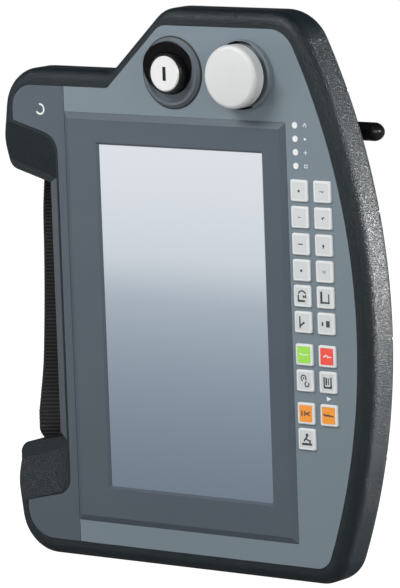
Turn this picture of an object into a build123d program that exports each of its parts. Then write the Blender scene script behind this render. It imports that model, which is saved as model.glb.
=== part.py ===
# Hand-held teach pendant for a robot, standing upright on its flat bottom edge.
#
# Millimetres. X runs to the right as the operator sees it, Y runs from the operator into
# the housing, Z is up. The origin is the middle of the bounding box, on the ground.
# Heights and widths are first written from the centre of the display, and depths from the
# face of the front foil. The functions face() and at() turn them into the model's frame.

import os
from math import cos, radians, sin, sqrt, tan

from build123d import *

# Display, the size that everything on the front is laid out around
window_width = 130.0
window_height = 223.0
glass_lap = 4.0

# Front foil and the carrier plate behind it
foil_thickness = 1.0
panel_thickness = 2.0
plate_fit = 0.3
foil_gap = 0.15
glass_seat = 0.1
glass_corner = 1.5
plate_top = window_height / 2 + 78.5
plate_bottom = -window_height / 2 - 39.3
plate_left = -window_width / 2 - 71.0
foil_split = -window_width / 2 - 27.7
strip_left = foil_split - 7.1
shoulder_height = window_height / 2 + 36.7
diagonal_foot = window_width / 2 - 122.0
diagonal_angle = 43.6
upper_lobe_tip = shoulder_height - 23.9
upper_lobe_root = upper_lobe_tip - 9.9
lower_lobe_tip = plate_bottom + 24.3
lower_lobe_root = lower_lobe_tip + 8.2

# The bowed right-hand side is one arc
side_centre_x = window_width / 2 - 339.7
side_centre_z = -2.2
side_radius = 408.1
side_bow = side_centre_x + side_radius

# Housing
rim = 10.5
diagonal_rim = 6.5
front_round = 7.5
seam_depth = 18.0
rim_depth = 32.0
rear_round = 12.0
wall = 3.0
ledge = 4.0
ledge_thickness = 2.5
skirt_gap = 1.2
lobe_left = plate_left - 11.3
corner_inset = 6.5
recess_side = strip_left - 5.2
recess_top = upper_lobe_root - 33.4
recess_bottom = lower_lobe_root + 35.3
recess_slope_top = 15.5
recess_slope_bottom = 10.5
recess_corner = 12.0
recess_flare = 0.5
lobe_corner = 9.0

# Thumb rests hollowed into the two lobes beside the recess
thumb_depth = 9.0
thumb_lip = 1.5
thumb_run = 29.0
lobe_bend = 14.0
thumb_edge = 0.8
thumb_corner = 13.0

# Rear housing, as a shape with the corners x, z and radius
back_depth = 54.0
back_top = plate_top - 1.0
back_round = 5.0
foot_height = 2.0
foot_radius = 7.0

# Keys
key_width = 13.0
key_height = 13.7
key_gap = 0.2
key_flange = 0.5
key_flange_thickness = 0.9
key_room = 0.2
key_play = 0.1
key_proud = 1.5
key_travel = 0.6
key_dish = 0.3
key_frame = 1.5
key_corner = 1.2
key_bevel = 0.5
key_stem_radius = 2.0
key_stem_length = 0.7
dome_radius = 4.0
key_left = window_width / 2 + 28.2
key_right = key_left + 17.6
key_drops = (22.1, 38.8, 55.7, 72.2, 88.5, 105.0, 125.6, 142.1, 162.95, 179.4)
key_rows = [window_height / 2 - drop for drop in key_drops]
lamp_x = key_left - 2.3
lamp_rows = [window_height / 2 - drop for drop in (-18.7, -10.2, -1.8, 6.8)]
lamp_radius = 1.6
lamp_rim = 0.4
lamp_fit = 0.1
lamp_chip = 0.5

# Emergency stop
estop_x = window_width / 2 - 12.0
estop_z = plate_top - 29.6
estop_radius = 20.1
estop_proud = 17.4
estop_dome = 0.9
estop_travel = 4.0
device_hole = 11.2
device_barrel = 11.0
nut_radius = 14.5
nut_thickness = 5.0
running_gap = 0.08

# Key switch
lock_x = estop_x - 56.5
lock_z = plate_top - 30.1
lock_collar_radius = 22.6
lock_face_radius = 11.3
lock_proud = 8.8

# Stylus in its bore behind the right-hand edge
stylus_radius = 5.9
stylus_depth = back_depth - 9.0
stylus_z = plate_top - 67.8
stylus_end = side_bow - 6.4
stylus_length = 112.0
stylus_dome = 6.5
cap_length = 22.0
cap_groove = 0.6
nib_length = 16.0
nib_radius = 1.0
stylus_fit = 0.3
sleeve_wall = 2.3
sleeve_end = side_bow - 43.4

# Hand strap, a band that stands at 45 degrees behind the recess
strap_in = 25.9
strap_back = 14.1
strap_width = 36.0
strap_thickness = 3.0
strap_bow = 4.0
strap_hole = 0.4
clamp_thickness = 2.5
clamp_margin = 3.0
clamp_inner = recess_top + 5.0
strap_end = clamp_inner + 30.0
strap_screw = 2.0
strap_screw_head = 3.5
strap_screws_out = 10.0

# Enabling lever on the back, under the fingers of the left hand
lever_left = strip_left + 4.3
lever_right = lever_left + 31.0
lever_half = recess_top - 33.0
lever_pin_x = lever_right - 3.0
lever_pin_depth = rim_depth - 4.0
lever_pin_radius = 2.0
lever_edge = 5.3
lever_bow = 10.0
lever_bevel = 1.5
lever_travel = 6.0
pin_fit = 0.05

# Cable gland in a notch at the foot of the rear housing
gland_x = window_width / 2 - 30.0
gland_flats = 20.0
gland_thread = 8.0
gland_thread_end = 3.0
gland_sleeve = 7.5
gland_body = 5.0
gland_grip = 10.0
nut_height = 9.0
nut_cone = 4.0
gland_bore = 4.5
thread_fit = 0.1
notch_width = 50.0
notch_height = 36.0
notch_front = back_depth - 26.0


def side_x(z, grow=0.0):
    """Where the bowed side stands at the height z, on the arc grown outwards."""
    return side_centre_x + sqrt((side_radius + grow) ** 2 - (z - side_centre_z) ** 2)


def outline(corners, grow=0.0):
    """A flat shape with straight sides and the bowed right-hand side.

    Each corner is given as x, z and radius, and the bow joins the last to the first."""
    points = [(x, z) for x, z, radius in corners]
    with BuildSketch() as sketch:
        with BuildLine():
            Polyline(*points)
            ThreePointArc(points[-1], (side_x(side_centre_z, grow), side_centre_z), points[0])
        make_face()
        for x, z, radius in corners:
            fillet(sketch.vertices().sort_by_distance((x, z, 0))[0], radius)
    return sketch.sketch_local


# The outline of the front foil
lean = tan(radians(diagonal_angle))
diagonal_head = diagonal_foot + (plate_top - shoulder_height) / lean
plate_shape = outline(
    [
        (side_x(plate_top), plate_top, 20),
        (diagonal_head, plate_top, 12),
        (diagonal_foot, shoulder_height, 4),
        (plate_left, shoulder_height, 16),
        (plate_left, upper_lobe_tip, 1.5),
        (strip_left, upper_lobe_root, 14),
        (strip_left, lower_lobe_root, 12),
        (plate_left, lower_lobe_tip, 1.5),
        (plate_left, plate_bottom, 20),
        (side_x(plate_bottom), plate_bottom, 12),
    ]
)

# The outline of the housing, first as if the recess for the left hand were filled
shell_top = plate_top + rim
shell_bottom = plate_bottom - rim
shell_shoulder = shoulder_height + rim
shell_foot = diagonal_foot + rim / lean - diagonal_rim / sin(radians(diagonal_angle))
shell_head = shell_foot + (shell_top - shell_shoulder) / lean
hull_shape = outline(
    [
        (side_x(shell_top, rim), shell_top, 30),
        (shell_head, shell_top, 22),
        (shell_foot, shell_shoulder, 14),
        (lobe_left + corner_inset, shell_shoulder, 28),
        (lobe_left, upper_lobe_tip - lobe_bend, 90),
        (lobe_left, lower_lobe_tip + lobe_bend, 90),
        (lobe_left + corner_inset, shell_bottom, 28),
        (side_x(shell_bottom, rim), shell_bottom, 22),
    ],
    rim,
)

# The recess for the left hand, as the shape that is cut from the housing. It leaves along the
# housing's side, so that the lobes above and below it get rounded corners.
recess_reach = recess_side - lobe_left
upper_lip = recess_top + recess_reach * tan(radians(recess_slope_top))
lower_lip = recess_bottom - recess_reach * tan(radians(recess_slope_bottom))
with BuildSketch() as recess_sketch:
    with BuildLine():
        FilletPolyline(
            (lobe_left - corner_inset, upper_lip + 2 * lobe_corner),
            (lobe_left - recess_flare, upper_lip + 2 * lobe_corner),
            (lobe_left, upper_lip),
            (recess_side, recess_top),
            (recess_side, recess_bottom),
            (lobe_left, lower_lip),
            (lobe_left - recess_flare, lower_lip - 2 * lobe_corner),
            (lobe_left - corner_inset, lower_lip - 2 * lobe_corner),
            radius=(0, 0, lobe_corner, recess_corner, recess_corner, lobe_corner, 0, 0),
            close=True,
        )
    make_face()
recess_shape = recess_sketch.sketch_local

# The frame: the middle of the bounding box stands over the origin
across = Vector(sqrt(0.5), sqrt(0.5), 0)
outward = Vector(-sqrt(0.5), sqrt(0.5), 0)
inward = (0, 1, 0)
strap_x = lobe_left + strap_in
strap_depth = rim_depth + strap_back
strap_mid = (clamp_inner + strap_end) / 2
clamp_width = strap_width + 2 * clamp_margin
clamp_out = strap_thickness / 2 + clamp_thickness
deepest = strap_depth + (clamp_width / 2 + clamp_out) * sqrt(0.5)
outline_box = hull_shape.bounding_box()
middle_x = (outline_box.min.X + outline_box.max.X) / 2
ground_z = outline_box.min.Y
front_y = (estop_proud - deepest) / 2


def at(x, depth, z):
    """A point given from the display's centre and the foil's face, in the model's frame."""
    return Vector(x - middle_x, depth + front_y, z - ground_z)


def face(depth):
    """A plane that looks out of the front, at a depth behind the foil's face."""
    return Plane(origin=at(0, depth, 0), x_dir=(1, 0, 0), z_dir=(0, -1, 0))


def turning(x, z):
    """A plane for a turned profile, with radius and depth as its two directions."""
    return Plane(origin=at(x, 0, z), x_dir=(1, 0, 0), z_dir=(0, 0, 1))


def turning_axis(x, z):
    """The axis that such a profile turns about."""
    return Axis(at(x, 0, z), (0, 1, 0))


def level(z):
    """A horizontal plane at the height z, with X and depth as its two directions."""
    return Plane(origin=at(0, 0, z), x_dir=(1, 0, 0), z_dir=(0, 0, 1))


def finish(part, name):
    """Label a finished piece and write it."""
    part.label = name
    export_step(part, f"parts/{name}.step")


os.makedirs("parts", exist_ok=True)

panel_front = foil_thickness
panel_back = panel_front + panel_thickness
key_places = [(x, z) for z in key_rows for x in (key_left, key_right)][:-1]
lamp_places = [(lamp_x, z) for z in lamp_rows]
device_places = [(estop_x, estop_z), (lock_x, lock_z)]
key_clear = 2 * (key_flange + key_room)
glass_width = window_width + 2 * glass_lap
glass_height = window_height + 2 * glass_lap

# Bezel around the glass; it isn't centred on the display
bezel_left = foil_split
bezel_right = window_width / 2 + 18.5
bezel_low = -window_height / 2 - 24.5
bezel_high = window_height / 2 + 20.0
bezel_proud = 2.0
bezel_slope = 4.0
bezel_step = 0.6
bezel_x = (bezel_left + bezel_right) / 2
bezel_z = (bezel_low + bezel_high) / 2
bezel_width = bezel_right - bezel_left
bezel_height = bezel_high - bezel_low

# Display module, its bracket and the main board, one behind the other
module_margin = 3.0
module_width = glass_width + 2 * module_margin
module_height = glass_height + 2 * module_margin
module_thickness = 7.0
module_frame = 8.0
module_step = 1.0
module_back = panel_back + module_thickness
sheet = 1.4
bracket_half = module_width / 2 + 2 * sheet
bracket_height = module_height - 37.0
web = 12.0
cutout_width = bracket_half - 30.8
cutout_height = bracket_height / 2 - 38.0
bracket_leg = 12.0
bracket_leg_z = bracket_height / 2 - 8.0
bracket_foot = 8.0
bracket_screw = 1.5
bracket_bite = 1.4
screw_fit = 0.1
stud_bite = 4.0
stud_radius = 3.0
bracket_legs_at = [
    (sx * (bracket_half - sheet / 2), sz * bracket_leg_z) for sx in (-1, 1) for sz in (-1, 1)
]
bracket_screws_at = [
    (sx * (bracket_half + bracket_foot / 2), sz * bracket_leg_z) for sx in (-1, 1) for sz in (-1, 1)
]
board_x = 0.0
board_z = 10.0
board_width = module_width - 20.0
board_height = 110.0
board_depth = 17.0
board_thickness = 1.6
board_inset = 5.0
processor = 2.0
board_screws_at = [
    (board_x + sx * (board_width / 2 - board_inset), board_z + sz * (board_height / 2 - board_inset))
    for sx in (-1, 1)
    for sz in (-1, 1)
]

# Heat sink on the processor
sink_width = 40.0
sink_plate = 3.0
sink_fins = 7
sink_fin = 1.5
sink_fin_height = 12.0

# Keypad board behind the keys and lamps
keypad_left = key_left - 7.7
keypad_right = key_right + 5.0
keypad_bottom = key_rows[-1] - 12.1
keypad_step = key_rows[0] + 8.6
keypad_neck = key_left + 4.8
keypad_top = lamp_rows[0] + 5.8
keypad_depth = 4.0
keypad_thickness = 1.6
dome_gap = 0.05
key_back = foil_thickness + key_play
key_stem = key_back + key_flange_thickness + key_stem_length
dome_height = keypad_depth - key_stem - key_travel - dome_gap
keypad_middle = (keypad_left + keypad_right) / 2
spacer = 2.0
left_spacers_at = [
    (keypad_left + spacer / 2 + key_room, z)
    for z in (keypad_bottom + 3, key_rows[5] + 7.5, keypad_top - spacer)
]
middle_spacers_at = [
    ((key_left + key_right) / 2, z)
    for z in (keypad_bottom + 1.8, key_rows[5] - 10.5, keypad_step - 0.9)
]

# Contact blocks behind the two panel devices
block_width = 30.0
block_height = 38.0
barrel_end = 22.0
block_depth = back_depth - wall - barrel_end - 7.0
terminal_depth = 3.0
lock_barrel = 13.0

# Screws that hold the two shells together, along the middle of the rim
screw_radius = 1.7
screw_head = 3.0
screw_head_thickness = 2.4
screw_hole = screw_radius + 0.1
screw_well = screw_head + 0.4
screw_tip = 8.0
screw_seat = 24.0
screw_inset = 4.6
lobe_screw = 19.3
screw_places = [
    (side_x(z, rim - screw_inset), z)
    for z in (plate_top - 40, plate_top - 115, plate_bottom + 145.8, plate_bottom + 70.8)
] + [
    (estop_x - 33, shell_top - screw_inset),
    (lobe_left + 47.3, shell_shoulder - screw_inset),
    (lobe_left + lobe_screw, upper_lobe_tip - 16.3),
    (lobe_left + lobe_screw, lower_lobe_tip + 18.5),
    (lobe_left + 47.3, shell_bottom + screw_inset),
    (side_bow - 39.4, shell_bottom + screw_inset),
]

# Front shell: the moulded rim that frames the foil
with BuildPart() as front_shell:
    with BuildSketch(face(0)):
        add(hull_shape)
    extrude(amount=seam_depth, dir=inward)
    fillet(front_shell.faces().sort_by(Axis.Y)[0].edges(), front_round)
    # Thumb rests, which run down from the foil's edge to the lip of the recess
    lobe_slope = (upper_lobe_tip - upper_lobe_root) / (strip_left - plate_left)
    thumb_far = lobe_left - 30
    far_rise = lobe_slope * (strip_left - thumb_far)
    thumb_root = strip_left - thumb_lip
    thumb_floor = recess_side + thumb_edge
    for depth, x, run in ((0, thumb_root, thumb_lip), (thumb_depth, thumb_floor, thumb_run)):
        with BuildSketch(face(depth)):
            with BuildLine():
                FilletPolyline(
                    (thumb_far, upper_lobe_root + far_rise - run),
                    (x, upper_lobe_root - run),
                    (x, lower_lobe_root + run),
                    (thumb_far, lower_lobe_root - far_rise + run),
                    radius=(0, thumb_corner, thumb_corner, 0),
                    close=True,
                )
            make_face()
    loft(mode=Mode.SUBTRACT)
    with BuildSketch(face(-1)):
        add(recess_shape)
    extrude(amount=seam_depth + 2, dir=inward, mode=Mode.SUBTRACT)
    # Pocket for the foil and its plate, the ledge that they rest on, and the hollow behind
    with BuildSketch(face(0)):
        add(plate_shape)
    extrude(amount=panel_back, dir=inward, mode=Mode.SUBTRACT)
    with BuildSketch(face(panel_back)):
        offset(plate_shape, -ledge)
    extrude(amount=ledge_thickness, dir=inward, mode=Mode.SUBTRACT)
    with BuildSketch(face(panel_back + ledge_thickness)):
        offset(plate_shape, skirt_gap)
    extrude(amount=seam_depth, dir=inward, mode=Mode.SUBTRACT)
    with BuildSketch(face(screw_tip)):
        with Locations(*screw_places):
            Circle(screw_hole)
    extrude(amount=seam_depth - screw_tip, dir=inward, mode=Mode.SUBTRACT)
finish(front_shell.part, "front_shell")


# Rear shell: the back half of the rim, with the deeper housing that the electronics fill
gland_depth = (notch_front + back_depth) / 2
notch_top = shell_bottom + notch_height
stylus_bore = stylus_radius + stylus_fit
stylus_stop = stylus_end - stylus_length - 1
sleeve = stylus_bore + sleeve_wall
pocket_front = rim_depth - 10.0
pocket_gap = 1.0
pocket_floor = 2.5
pocket_top = lever_half + pocket_gap
pocket_left = strip_left - skirt_gap
pocket_right = lever_right + pocket_gap + wall
pin_reach = pocket_top + 2
lever_inner = rim_depth - 4.5
lever_hub = lever_pin_depth - 2.6
lever_middle = (lever_left + lever_right) / 2
switch_x = lever_middle - 4
switch_plunger = 3.0
cover_left = gland_x - 65.0
cover_right = gland_x + 35.0
cover_bottom = shell_bottom + 49.3
cover_top = cover_bottom + 70.0
cover_thickness = 3.0
cover_frame = 3.0
cover_lap = 7.0
cover_gap = 0.3
cover_corner = 5.0
cover_screw_inset = 4.0
cover_screw = 1.4
cover_screw_head = 2.7
cover_screw_sink = 1.7
cover_x = (cover_left + cover_right) / 2
cover_z = (cover_bottom + cover_top) / 2
cover_width = cover_right - cover_left
cover_height = cover_top - cover_bottom
cover_screws_at = [
    (cover_x + sx * (cover_width / 2 - cover_screw_inset), z)
    for sx in (-1, 1)
    for z in (cover_bottom + cover_screw_inset, cover_top - cover_screw_inset)
]
seal_inner = 2.2
seal_width = 1.6
seal_thickness = 1.8
back_left = lever_right + 6.5
back_corners = (
    (back_left, shell_bottom, 8),
    (side_bow - 53.4, shell_bottom, 14),
    (side_bow - 35.4, plate_bottom + 80.8, 60),
    (side_bow - 31.4, plate_top - 140, 60),
    (side_bow - 47.4, plate_top - 38, 30),
    (side_bow - 63.4, back_top, 14),
    (diagonal_foot + 51, back_top, 14),
    (back_left, shoulder_height - 5.2, 14),
)
with BuildSketch() as back_sketch:
    with BuildLine():
        FilletPolyline(
            *[(x, z) for x, z, radius in back_corners],
            radius=[radius for x, z, radius in back_corners],
            close=True,
        )
    make_face()
back_shape = back_sketch.sketch_local

with BuildPart() as rear_shell:
    with BuildSketch(face(seam_depth)):
        add(hull_shape)
    extrude(amount=rim_depth - seam_depth, dir=inward)
    fillet(rear_shell.faces().sort_by(Axis.Y)[-1].edges(), rear_round)
    with BuildSketch(face(seam_depth - 1)):
        add(recess_shape)
    extrude(amount=rim_depth - seam_depth + 2, dir=inward, mode=Mode.SUBTRACT)
    with BuildPart(mode=Mode.ADD) as back_block:
        with BuildSketch(face(seam_depth)):
            add(back_shape)
        extrude(amount=back_depth - seam_depth, dir=inward)
        fillet(back_block.faces().sort_by(Axis.Y)[-1].edges(), back_round)
    # The hollow, first across the rim and then deeper inside the housing
    with BuildSketch(face(seam_depth)):
        offset(plate_shape, skirt_gap)
    extrude(amount=rim_depth - wall - seam_depth, dir=inward, mode=Mode.SUBTRACT)
    with BuildSketch(face(seam_depth)):
        offset(back_shape, -wall)
        with Locations((0, shell_bottom)):
            Rectangle(3 * glass_width, 4 * wall, mode=Mode.SUBTRACT)
    extrude(amount=back_depth - wall - seam_depth, dir=inward, mode=Mode.SUBTRACT)
    # Walls of the cable notch, then the notch itself
    with BuildSketch(level(shell_bottom)):
        with Locations((gland_x, (notch_front - wall + back_depth - wall) / 2)):
            Rectangle(notch_width + 2 * wall, back_depth - notch_front)
    extrude(amount=notch_height + wall)
    with BuildSketch(level(shell_bottom)):
        with Locations((gland_x, notch_front + back_depth / 2)):
            Rectangle(notch_width, back_depth)
    extrude(amount=notch_height, mode=Mode.SUBTRACT)
    with BuildSketch(level(notch_top - 1)):
        with Locations((gland_x, gland_depth)):
            Circle(gland_thread + thread_fit)
    extrude(amount=wall + 2, mode=Mode.SUBTRACT)
    # Sleeve that the stylus slides into, open at the right-hand side of the housing
    sleeve_plane = Plane(origin=at(stylus_stop - wall, stylus_depth, stylus_z), z_dir=(1, 0, 0))
    with BuildSketch(sleeve_plane):
        Circle(sleeve)
    extrude(amount=sleeve_end - stylus_stop + wall)
    with BuildSketch(sleeve_plane.offset(wall)):
        Circle(stylus_bore)
    extrude(amount=stylus_length + 40, mode=Mode.SUBTRACT)
    # Pocket for the enabling lever, with the bores for its pin and for the switch
    with BuildSketch(face(pocket_front - pocket_floor)):
        with Locations(((pocket_left + pocket_right) / 2, 0)):
            Rectangle(pocket_right - pocket_left, 2 * (pocket_top + wall))
    extrude(amount=rim_depth - pocket_front + pocket_floor, dir=inward)
    with BuildSketch(face(pocket_front)):
        with Locations((lever_middle, 0)):
            Rectangle(lever_right - lever_left + 2 * pocket_gap, 2 * pocket_top)
    extrude(amount=rim_depth, dir=inward, mode=Mode.SUBTRACT)
    with BuildSketch(level(-pin_reach)):
        with Locations((lever_pin_x, lever_pin_depth)):
            Circle(lever_pin_radius + pin_fit)
    extrude(amount=2 * pin_reach, mode=Mode.SUBTRACT)
    with BuildSketch(face(pocket_front - pocket_floor - 1)):
        with Locations((switch_x, 0)):
            Circle(switch_plunger + cover_gap)
    extrude(amount=pocket_floor + 2, dir=inward, mode=Mode.SUBTRACT)
    # Frame of the connection cover
    with BuildSketch(face(back_depth - wall - cover_frame)):
        with Locations((cover_x, cover_z)):
            RectangleRounded(cover_width + 2 * cover_frame, cover_height + 2 * cover_frame, cover_corner)
            Rectangle(cover_width - 2 * cover_lap, cover_height - 2 * cover_lap, mode=Mode.SUBTRACT)
    extrude(amount=cover_frame, dir=inward)
    with BuildSketch(face(back_depth - cover_thickness)):
        with Locations((cover_x, cover_z)):
            RectangleRounded(cover_width + 2 * cover_gap, cover_height + 2 * cover_gap, cover_corner)
    extrude(amount=wall + 1, dir=inward, mode=Mode.SUBTRACT)
    with BuildSketch(face(back_depth - wall - cover_frame)):
        with Locations(*cover_screws_at):
            Circle(cover_screw + thread_fit)
    extrude(amount=wall, dir=inward, mode=Mode.SUBTRACT)
    # Groove for the seal and bores for the housing screws
    with BuildSketch(face(seam_depth)):
        offset(plate_shape, seal_inner + seal_width)
        offset(plate_shape, seal_inner, mode=Mode.SUBTRACT)
    extrude(amount=seal_thickness, dir=inward, mode=Mode.SUBTRACT)
    with BuildSketch(face(seam_depth)):
        with Locations(*screw_places):
            Circle(screw_hole)
    extrude(amount=screw_seat - seam_depth, dir=inward, mode=Mode.SUBTRACT)
    with BuildSketch(face(screw_seat)):
        with Locations(*screw_places):
            Circle(screw_well)
    extrude(amount=rim_depth, dir=inward, mode=Mode.SUBTRACT)
finish(rear_shell.part, "rear_shell")

# Seal in the groove between the shells
with BuildPart() as rim_seal:
    with BuildSketch(face(seam_depth)):
        offset(plate_shape, seal_inner + seal_width)
        offset(plate_shape, seal_inner, mode=Mode.SUBTRACT)
    extrude(amount=seal_thickness, dir=inward)
finish(rim_seal.part, "rim_seal")

# Screws that close the housing
with BuildPart() as housing_screws:
    with BuildSketch(face(screw_tip)):
        with Locations(*screw_places):
            Circle(screw_radius)
    extrude(amount=screw_seat - screw_tip, dir=inward)
    with BuildSketch(face(screw_seat)):
        with Locations(*screw_places):
            Circle(screw_head)
    extrude(amount=screw_head_thickness, dir=inward)
    with BuildSketch(face(screw_seat + screw_head_thickness)):
        with Locations(*screw_places):
            RegularPolygon(screw_head / 2, 6)
    extrude(amount=-screw_head_thickness / 2, dir=inward, mode=Mode.SUBTRACT)
finish(housing_screws.part, "housing_screws")

# Carrier plate behind the foil: it holds the glass, the keys and the panel devices
with BuildPart() as front_panel:
    with BuildSketch(face(panel_front)):
        offset(plate_shape, -plate_fit)
        Rectangle(glass_width + 2 * plate_fit, glass_height + 2 * plate_fit, mode=Mode.SUBTRACT)
        with Locations(*key_places):
            Rectangle(key_width + key_clear, key_height + key_clear, mode=Mode.SUBTRACT)
        with Locations(*lamp_places):
            Circle(lamp_radius + lamp_fit, mode=Mode.SUBTRACT)
        with Locations(*device_places):
            Circle(device_hole, mode=Mode.SUBTRACT)
    extrude(amount=panel_thickness, dir=inward)
    with BuildSketch(face(panel_back)):
        with Locations(*bracket_screws_at):
            Circle(bracket_screw + screw_fit)
    extrude(amount=-bracket_bite, dir=inward, mode=Mode.SUBTRACT)
finish(front_panel.part, "front_panel")

# Bezel: the raised dark frame around the glass
with BuildPart() as display_bezel:
    with BuildSketch(face(-bezel_proud)):
        with Locations((bezel_x, bezel_z)):
            Rectangle(bezel_width, bezel_height)
    extrude(amount=bezel_proud + foil_thickness, dir=inward)
    chamfer(display_bezel.faces().sort_by(Axis.Y)[0].edges(), bezel_proud, bezel_slope)
    with BuildSketch(face(0)):
        Rectangle(glass_width + 2 * plate_fit, glass_height + 2 * plate_fit)
    extrude(amount=foil_thickness, dir=inward, mode=Mode.SUBTRACT)
    with BuildSketch(face(-bezel_proud)):
        Rectangle(window_width, window_height)
    extrude(amount=bezel_proud, dir=inward, mode=Mode.SUBTRACT)
    inner_edges = display_bezel.faces().filter_by(Axis.Y).sort_by(Axis.Y)[0].inner_wires().edges()
    chamfer(inner_edges, bezel_proud - bezel_step)
finish(display_bezel.part, "display_bezel")

# Front foil, in a light main field and a darker strip down the left-hand side
foil_reach = 2 * (plate_top - plate_bottom)
with BuildPart() as main_fascia:
    with BuildSketch(face(0)):
        offset(plate_shape, -plate_fit)
        with Locations((foil_split - glass_width / 2, 0)):
            Rectangle(glass_width, foil_reach, mode=Mode.SUBTRACT)
        with Locations((bezel_x, bezel_z)):
            Rectangle(bezel_width + 2 * foil_gap, bezel_height + 2 * foil_gap, mode=Mode.SUBTRACT)
        with Locations(*key_places):
            Rectangle(key_width + 2 * key_gap, key_height + 2 * key_gap, mode=Mode.SUBTRACT)
        with Locations(*lamp_places):
            Circle(lamp_radius + lamp_fit, mode=Mode.SUBTRACT)
        with Locations(*device_places):
            Circle(device_hole, mode=Mode.SUBTRACT)
    extrude(amount=foil_thickness, dir=inward)
finish(main_fascia.part, "main_fascia")

with BuildPart() as left_fascia:
    with BuildSketch(face(0)):
        offset(plate_shape, -plate_fit)
        with Locations((foil_split - 2 * foil_gap + 1.5 * glass_width, 0)):
            Rectangle(3 * glass_width, foil_reach, mode=Mode.SUBTRACT)
    extrude(amount=foil_thickness, dir=inward)
finish(left_fascia.part, "left_fascia")

# Touch glass, and the display module that it lies on
with BuildPart() as touch_glass:
    with BuildSketch(face(0)):
        RectangleRounded(glass_width, glass_height, glass_corner)
    extrude(amount=panel_back - glass_seat, dir=inward)
finish(touch_glass.part, "touch_glass")

with BuildPart() as lcd_module:
    with BuildSketch(face(panel_back)):
        Rectangle(module_width, module_height)
    extrude(amount=module_thickness, dir=inward)
    with BuildSketch(face(module_back)):
        Rectangle(module_width - 2 * module_frame, module_height - 2 * module_frame)
    extrude(amount=-module_step, dir=inward, mode=Mode.SUBTRACT)
    with BuildSketch(face(module_back - module_step)):
        with Locations((0, -module_height / 4)):
            Rectangle(60, 34)
    extrude(amount=module_step, dir=inward)
finish(lcd_module.part, "lcd_module")

# Bracket: a sheet that clamps the display module and carries the main board on studs
with BuildPart() as display_bracket:
    with BuildSketch(face(module_back)):
        Rectangle(2 * bracket_half, bracket_height)
        with GridLocations(cutout_width + web, cutout_height + web, 2, 2):
            RectangleRounded(cutout_width, cutout_height, web / 2, mode=Mode.SUBTRACT)
    extrude(amount=sheet, dir=inward)
    with BuildSketch(face(panel_back)):
        with Locations(*bracket_legs_at):
            Rectangle(sheet, bracket_leg)
    extrude(amount=module_thickness, dir=inward)
    with BuildSketch(face(panel_back)):
        with Locations(*bracket_screws_at):
            Rectangle(bracket_foot, bracket_leg)
            Circle(bracket_screw + screw_fit, mode=Mode.SUBTRACT)
    extrude(amount=sheet, dir=inward)
    with BuildSketch(face(module_back + sheet)):
        with Locations(*board_screws_at):
            RegularPolygon(stud_radius, 6)
    extrude(amount=board_depth - module_back - sheet, dir=inward)
    with BuildSketch(face(board_depth)):
        with Locations(*board_screws_at):
            Circle(bracket_screw + screw_fit)
    extrude(amount=-stud_bite, dir=inward, mode=Mode.SUBTRACT)
finish(display_bracket.part, "display_bracket")

with BuildPart() as inner_screws:
    for head_depth, places, shank in (
        (panel_back + sheet, bracket_screws_at, sheet + bracket_bite - screw_fit),
        (board_depth + board_thickness, board_screws_at, board_thickness + stud_bite - screw_fit),
    ):
        with BuildSketch(face(head_depth)):
            with Locations(*places):
                Circle(1.8 * bracket_screw)
        extrude(amount=1.2 * bracket_screw, dir=inward)
        with BuildSketch(face(head_depth)):
            with Locations(*places):
                Circle(bracket_screw)
        extrude(amount=-shank, dir=inward)
finish(inner_screws.part, "inner_screws")

# Main board with its larger parts, and the finned heat sink on the processor
with BuildPart() as main_board:
    with BuildSketch(face(board_depth)):
        with Locations((board_x, board_z)):
            Rectangle(board_width, board_height)
        with Locations(*board_screws_at):
            Circle(bracket_screw + screw_fit, mode=Mode.SUBTRACT)
    extrude(amount=board_thickness, dir=inward)
    for x, z, width, height, thickness in (
        (0, 0, 27, 27, processor),
        (38, 6, 14, 12, 1.2),
        (38, -14, 14, 12, 1.2),
        (-42, 20, 20, 20, 1.6),
        (-40, -30, 16, 30, 8),
        (10, -46, 60, 8, 9),
        (42, 42, 24, 6, 5),
    ):
        with BuildSketch(face(board_depth + board_thickness)):
            with Locations((board_x + x, board_z + z)):
                Rectangle(width, height)
        extrude(amount=thickness, dir=inward)
finish(main_board.part, "main_board")

with BuildPart() as processor_heatsink:
    sink_base = board_depth + board_thickness + processor
    with BuildSketch(face(sink_base)):
        with Locations((board_x, board_z)):
            Rectangle(sink_width, sink_width)
    extrude(amount=sink_plate, dir=inward)
    with BuildSketch(face(sink_base + sink_plate)):
        with Locations((board_x, board_z)):
            with GridLocations((sink_width - sink_fin) / (sink_fins - 1), 1, sink_fins, 1):
                Rectangle(sink_fin, sink_width)
    extrude(amount=sink_fin_height, dir=inward)
finish(processor_heatsink.part, "processor_heatsink")

# Keypad board with its snap domes, spaced off the carrier plate
with BuildPart() as keypad_board:
    with BuildSketch(face(keypad_depth)):
        with Locations((keypad_middle, (keypad_bottom + keypad_step) / 2)):
            Rectangle(keypad_right - keypad_left, keypad_step - keypad_bottom)
        with Locations(((keypad_left + keypad_neck) / 2, (keypad_step + keypad_top) / 2)):
            Rectangle(keypad_neck - keypad_left, keypad_top - keypad_step)
    extrude(amount=keypad_thickness, dir=inward)
    with BuildSketch(face(panel_back)):
        with Locations(*left_spacers_at):
            Rectangle(spacer, 2 * spacer)
        with Locations(*middle_spacers_at):
            Rectangle(2 * spacer, 0.8 * spacer)
    extrude(amount=keypad_depth - panel_back, dir=inward)
    with BuildSketch(face(keypad_depth)):
        with Locations(*lamp_places):
            Rectangle(1.2 * lamp_radius, 0.8 * lamp_radius)
    extrude(amount=-lamp_chip, dir=inward)
finish(keypad_board.part, "keypad_board")

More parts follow.
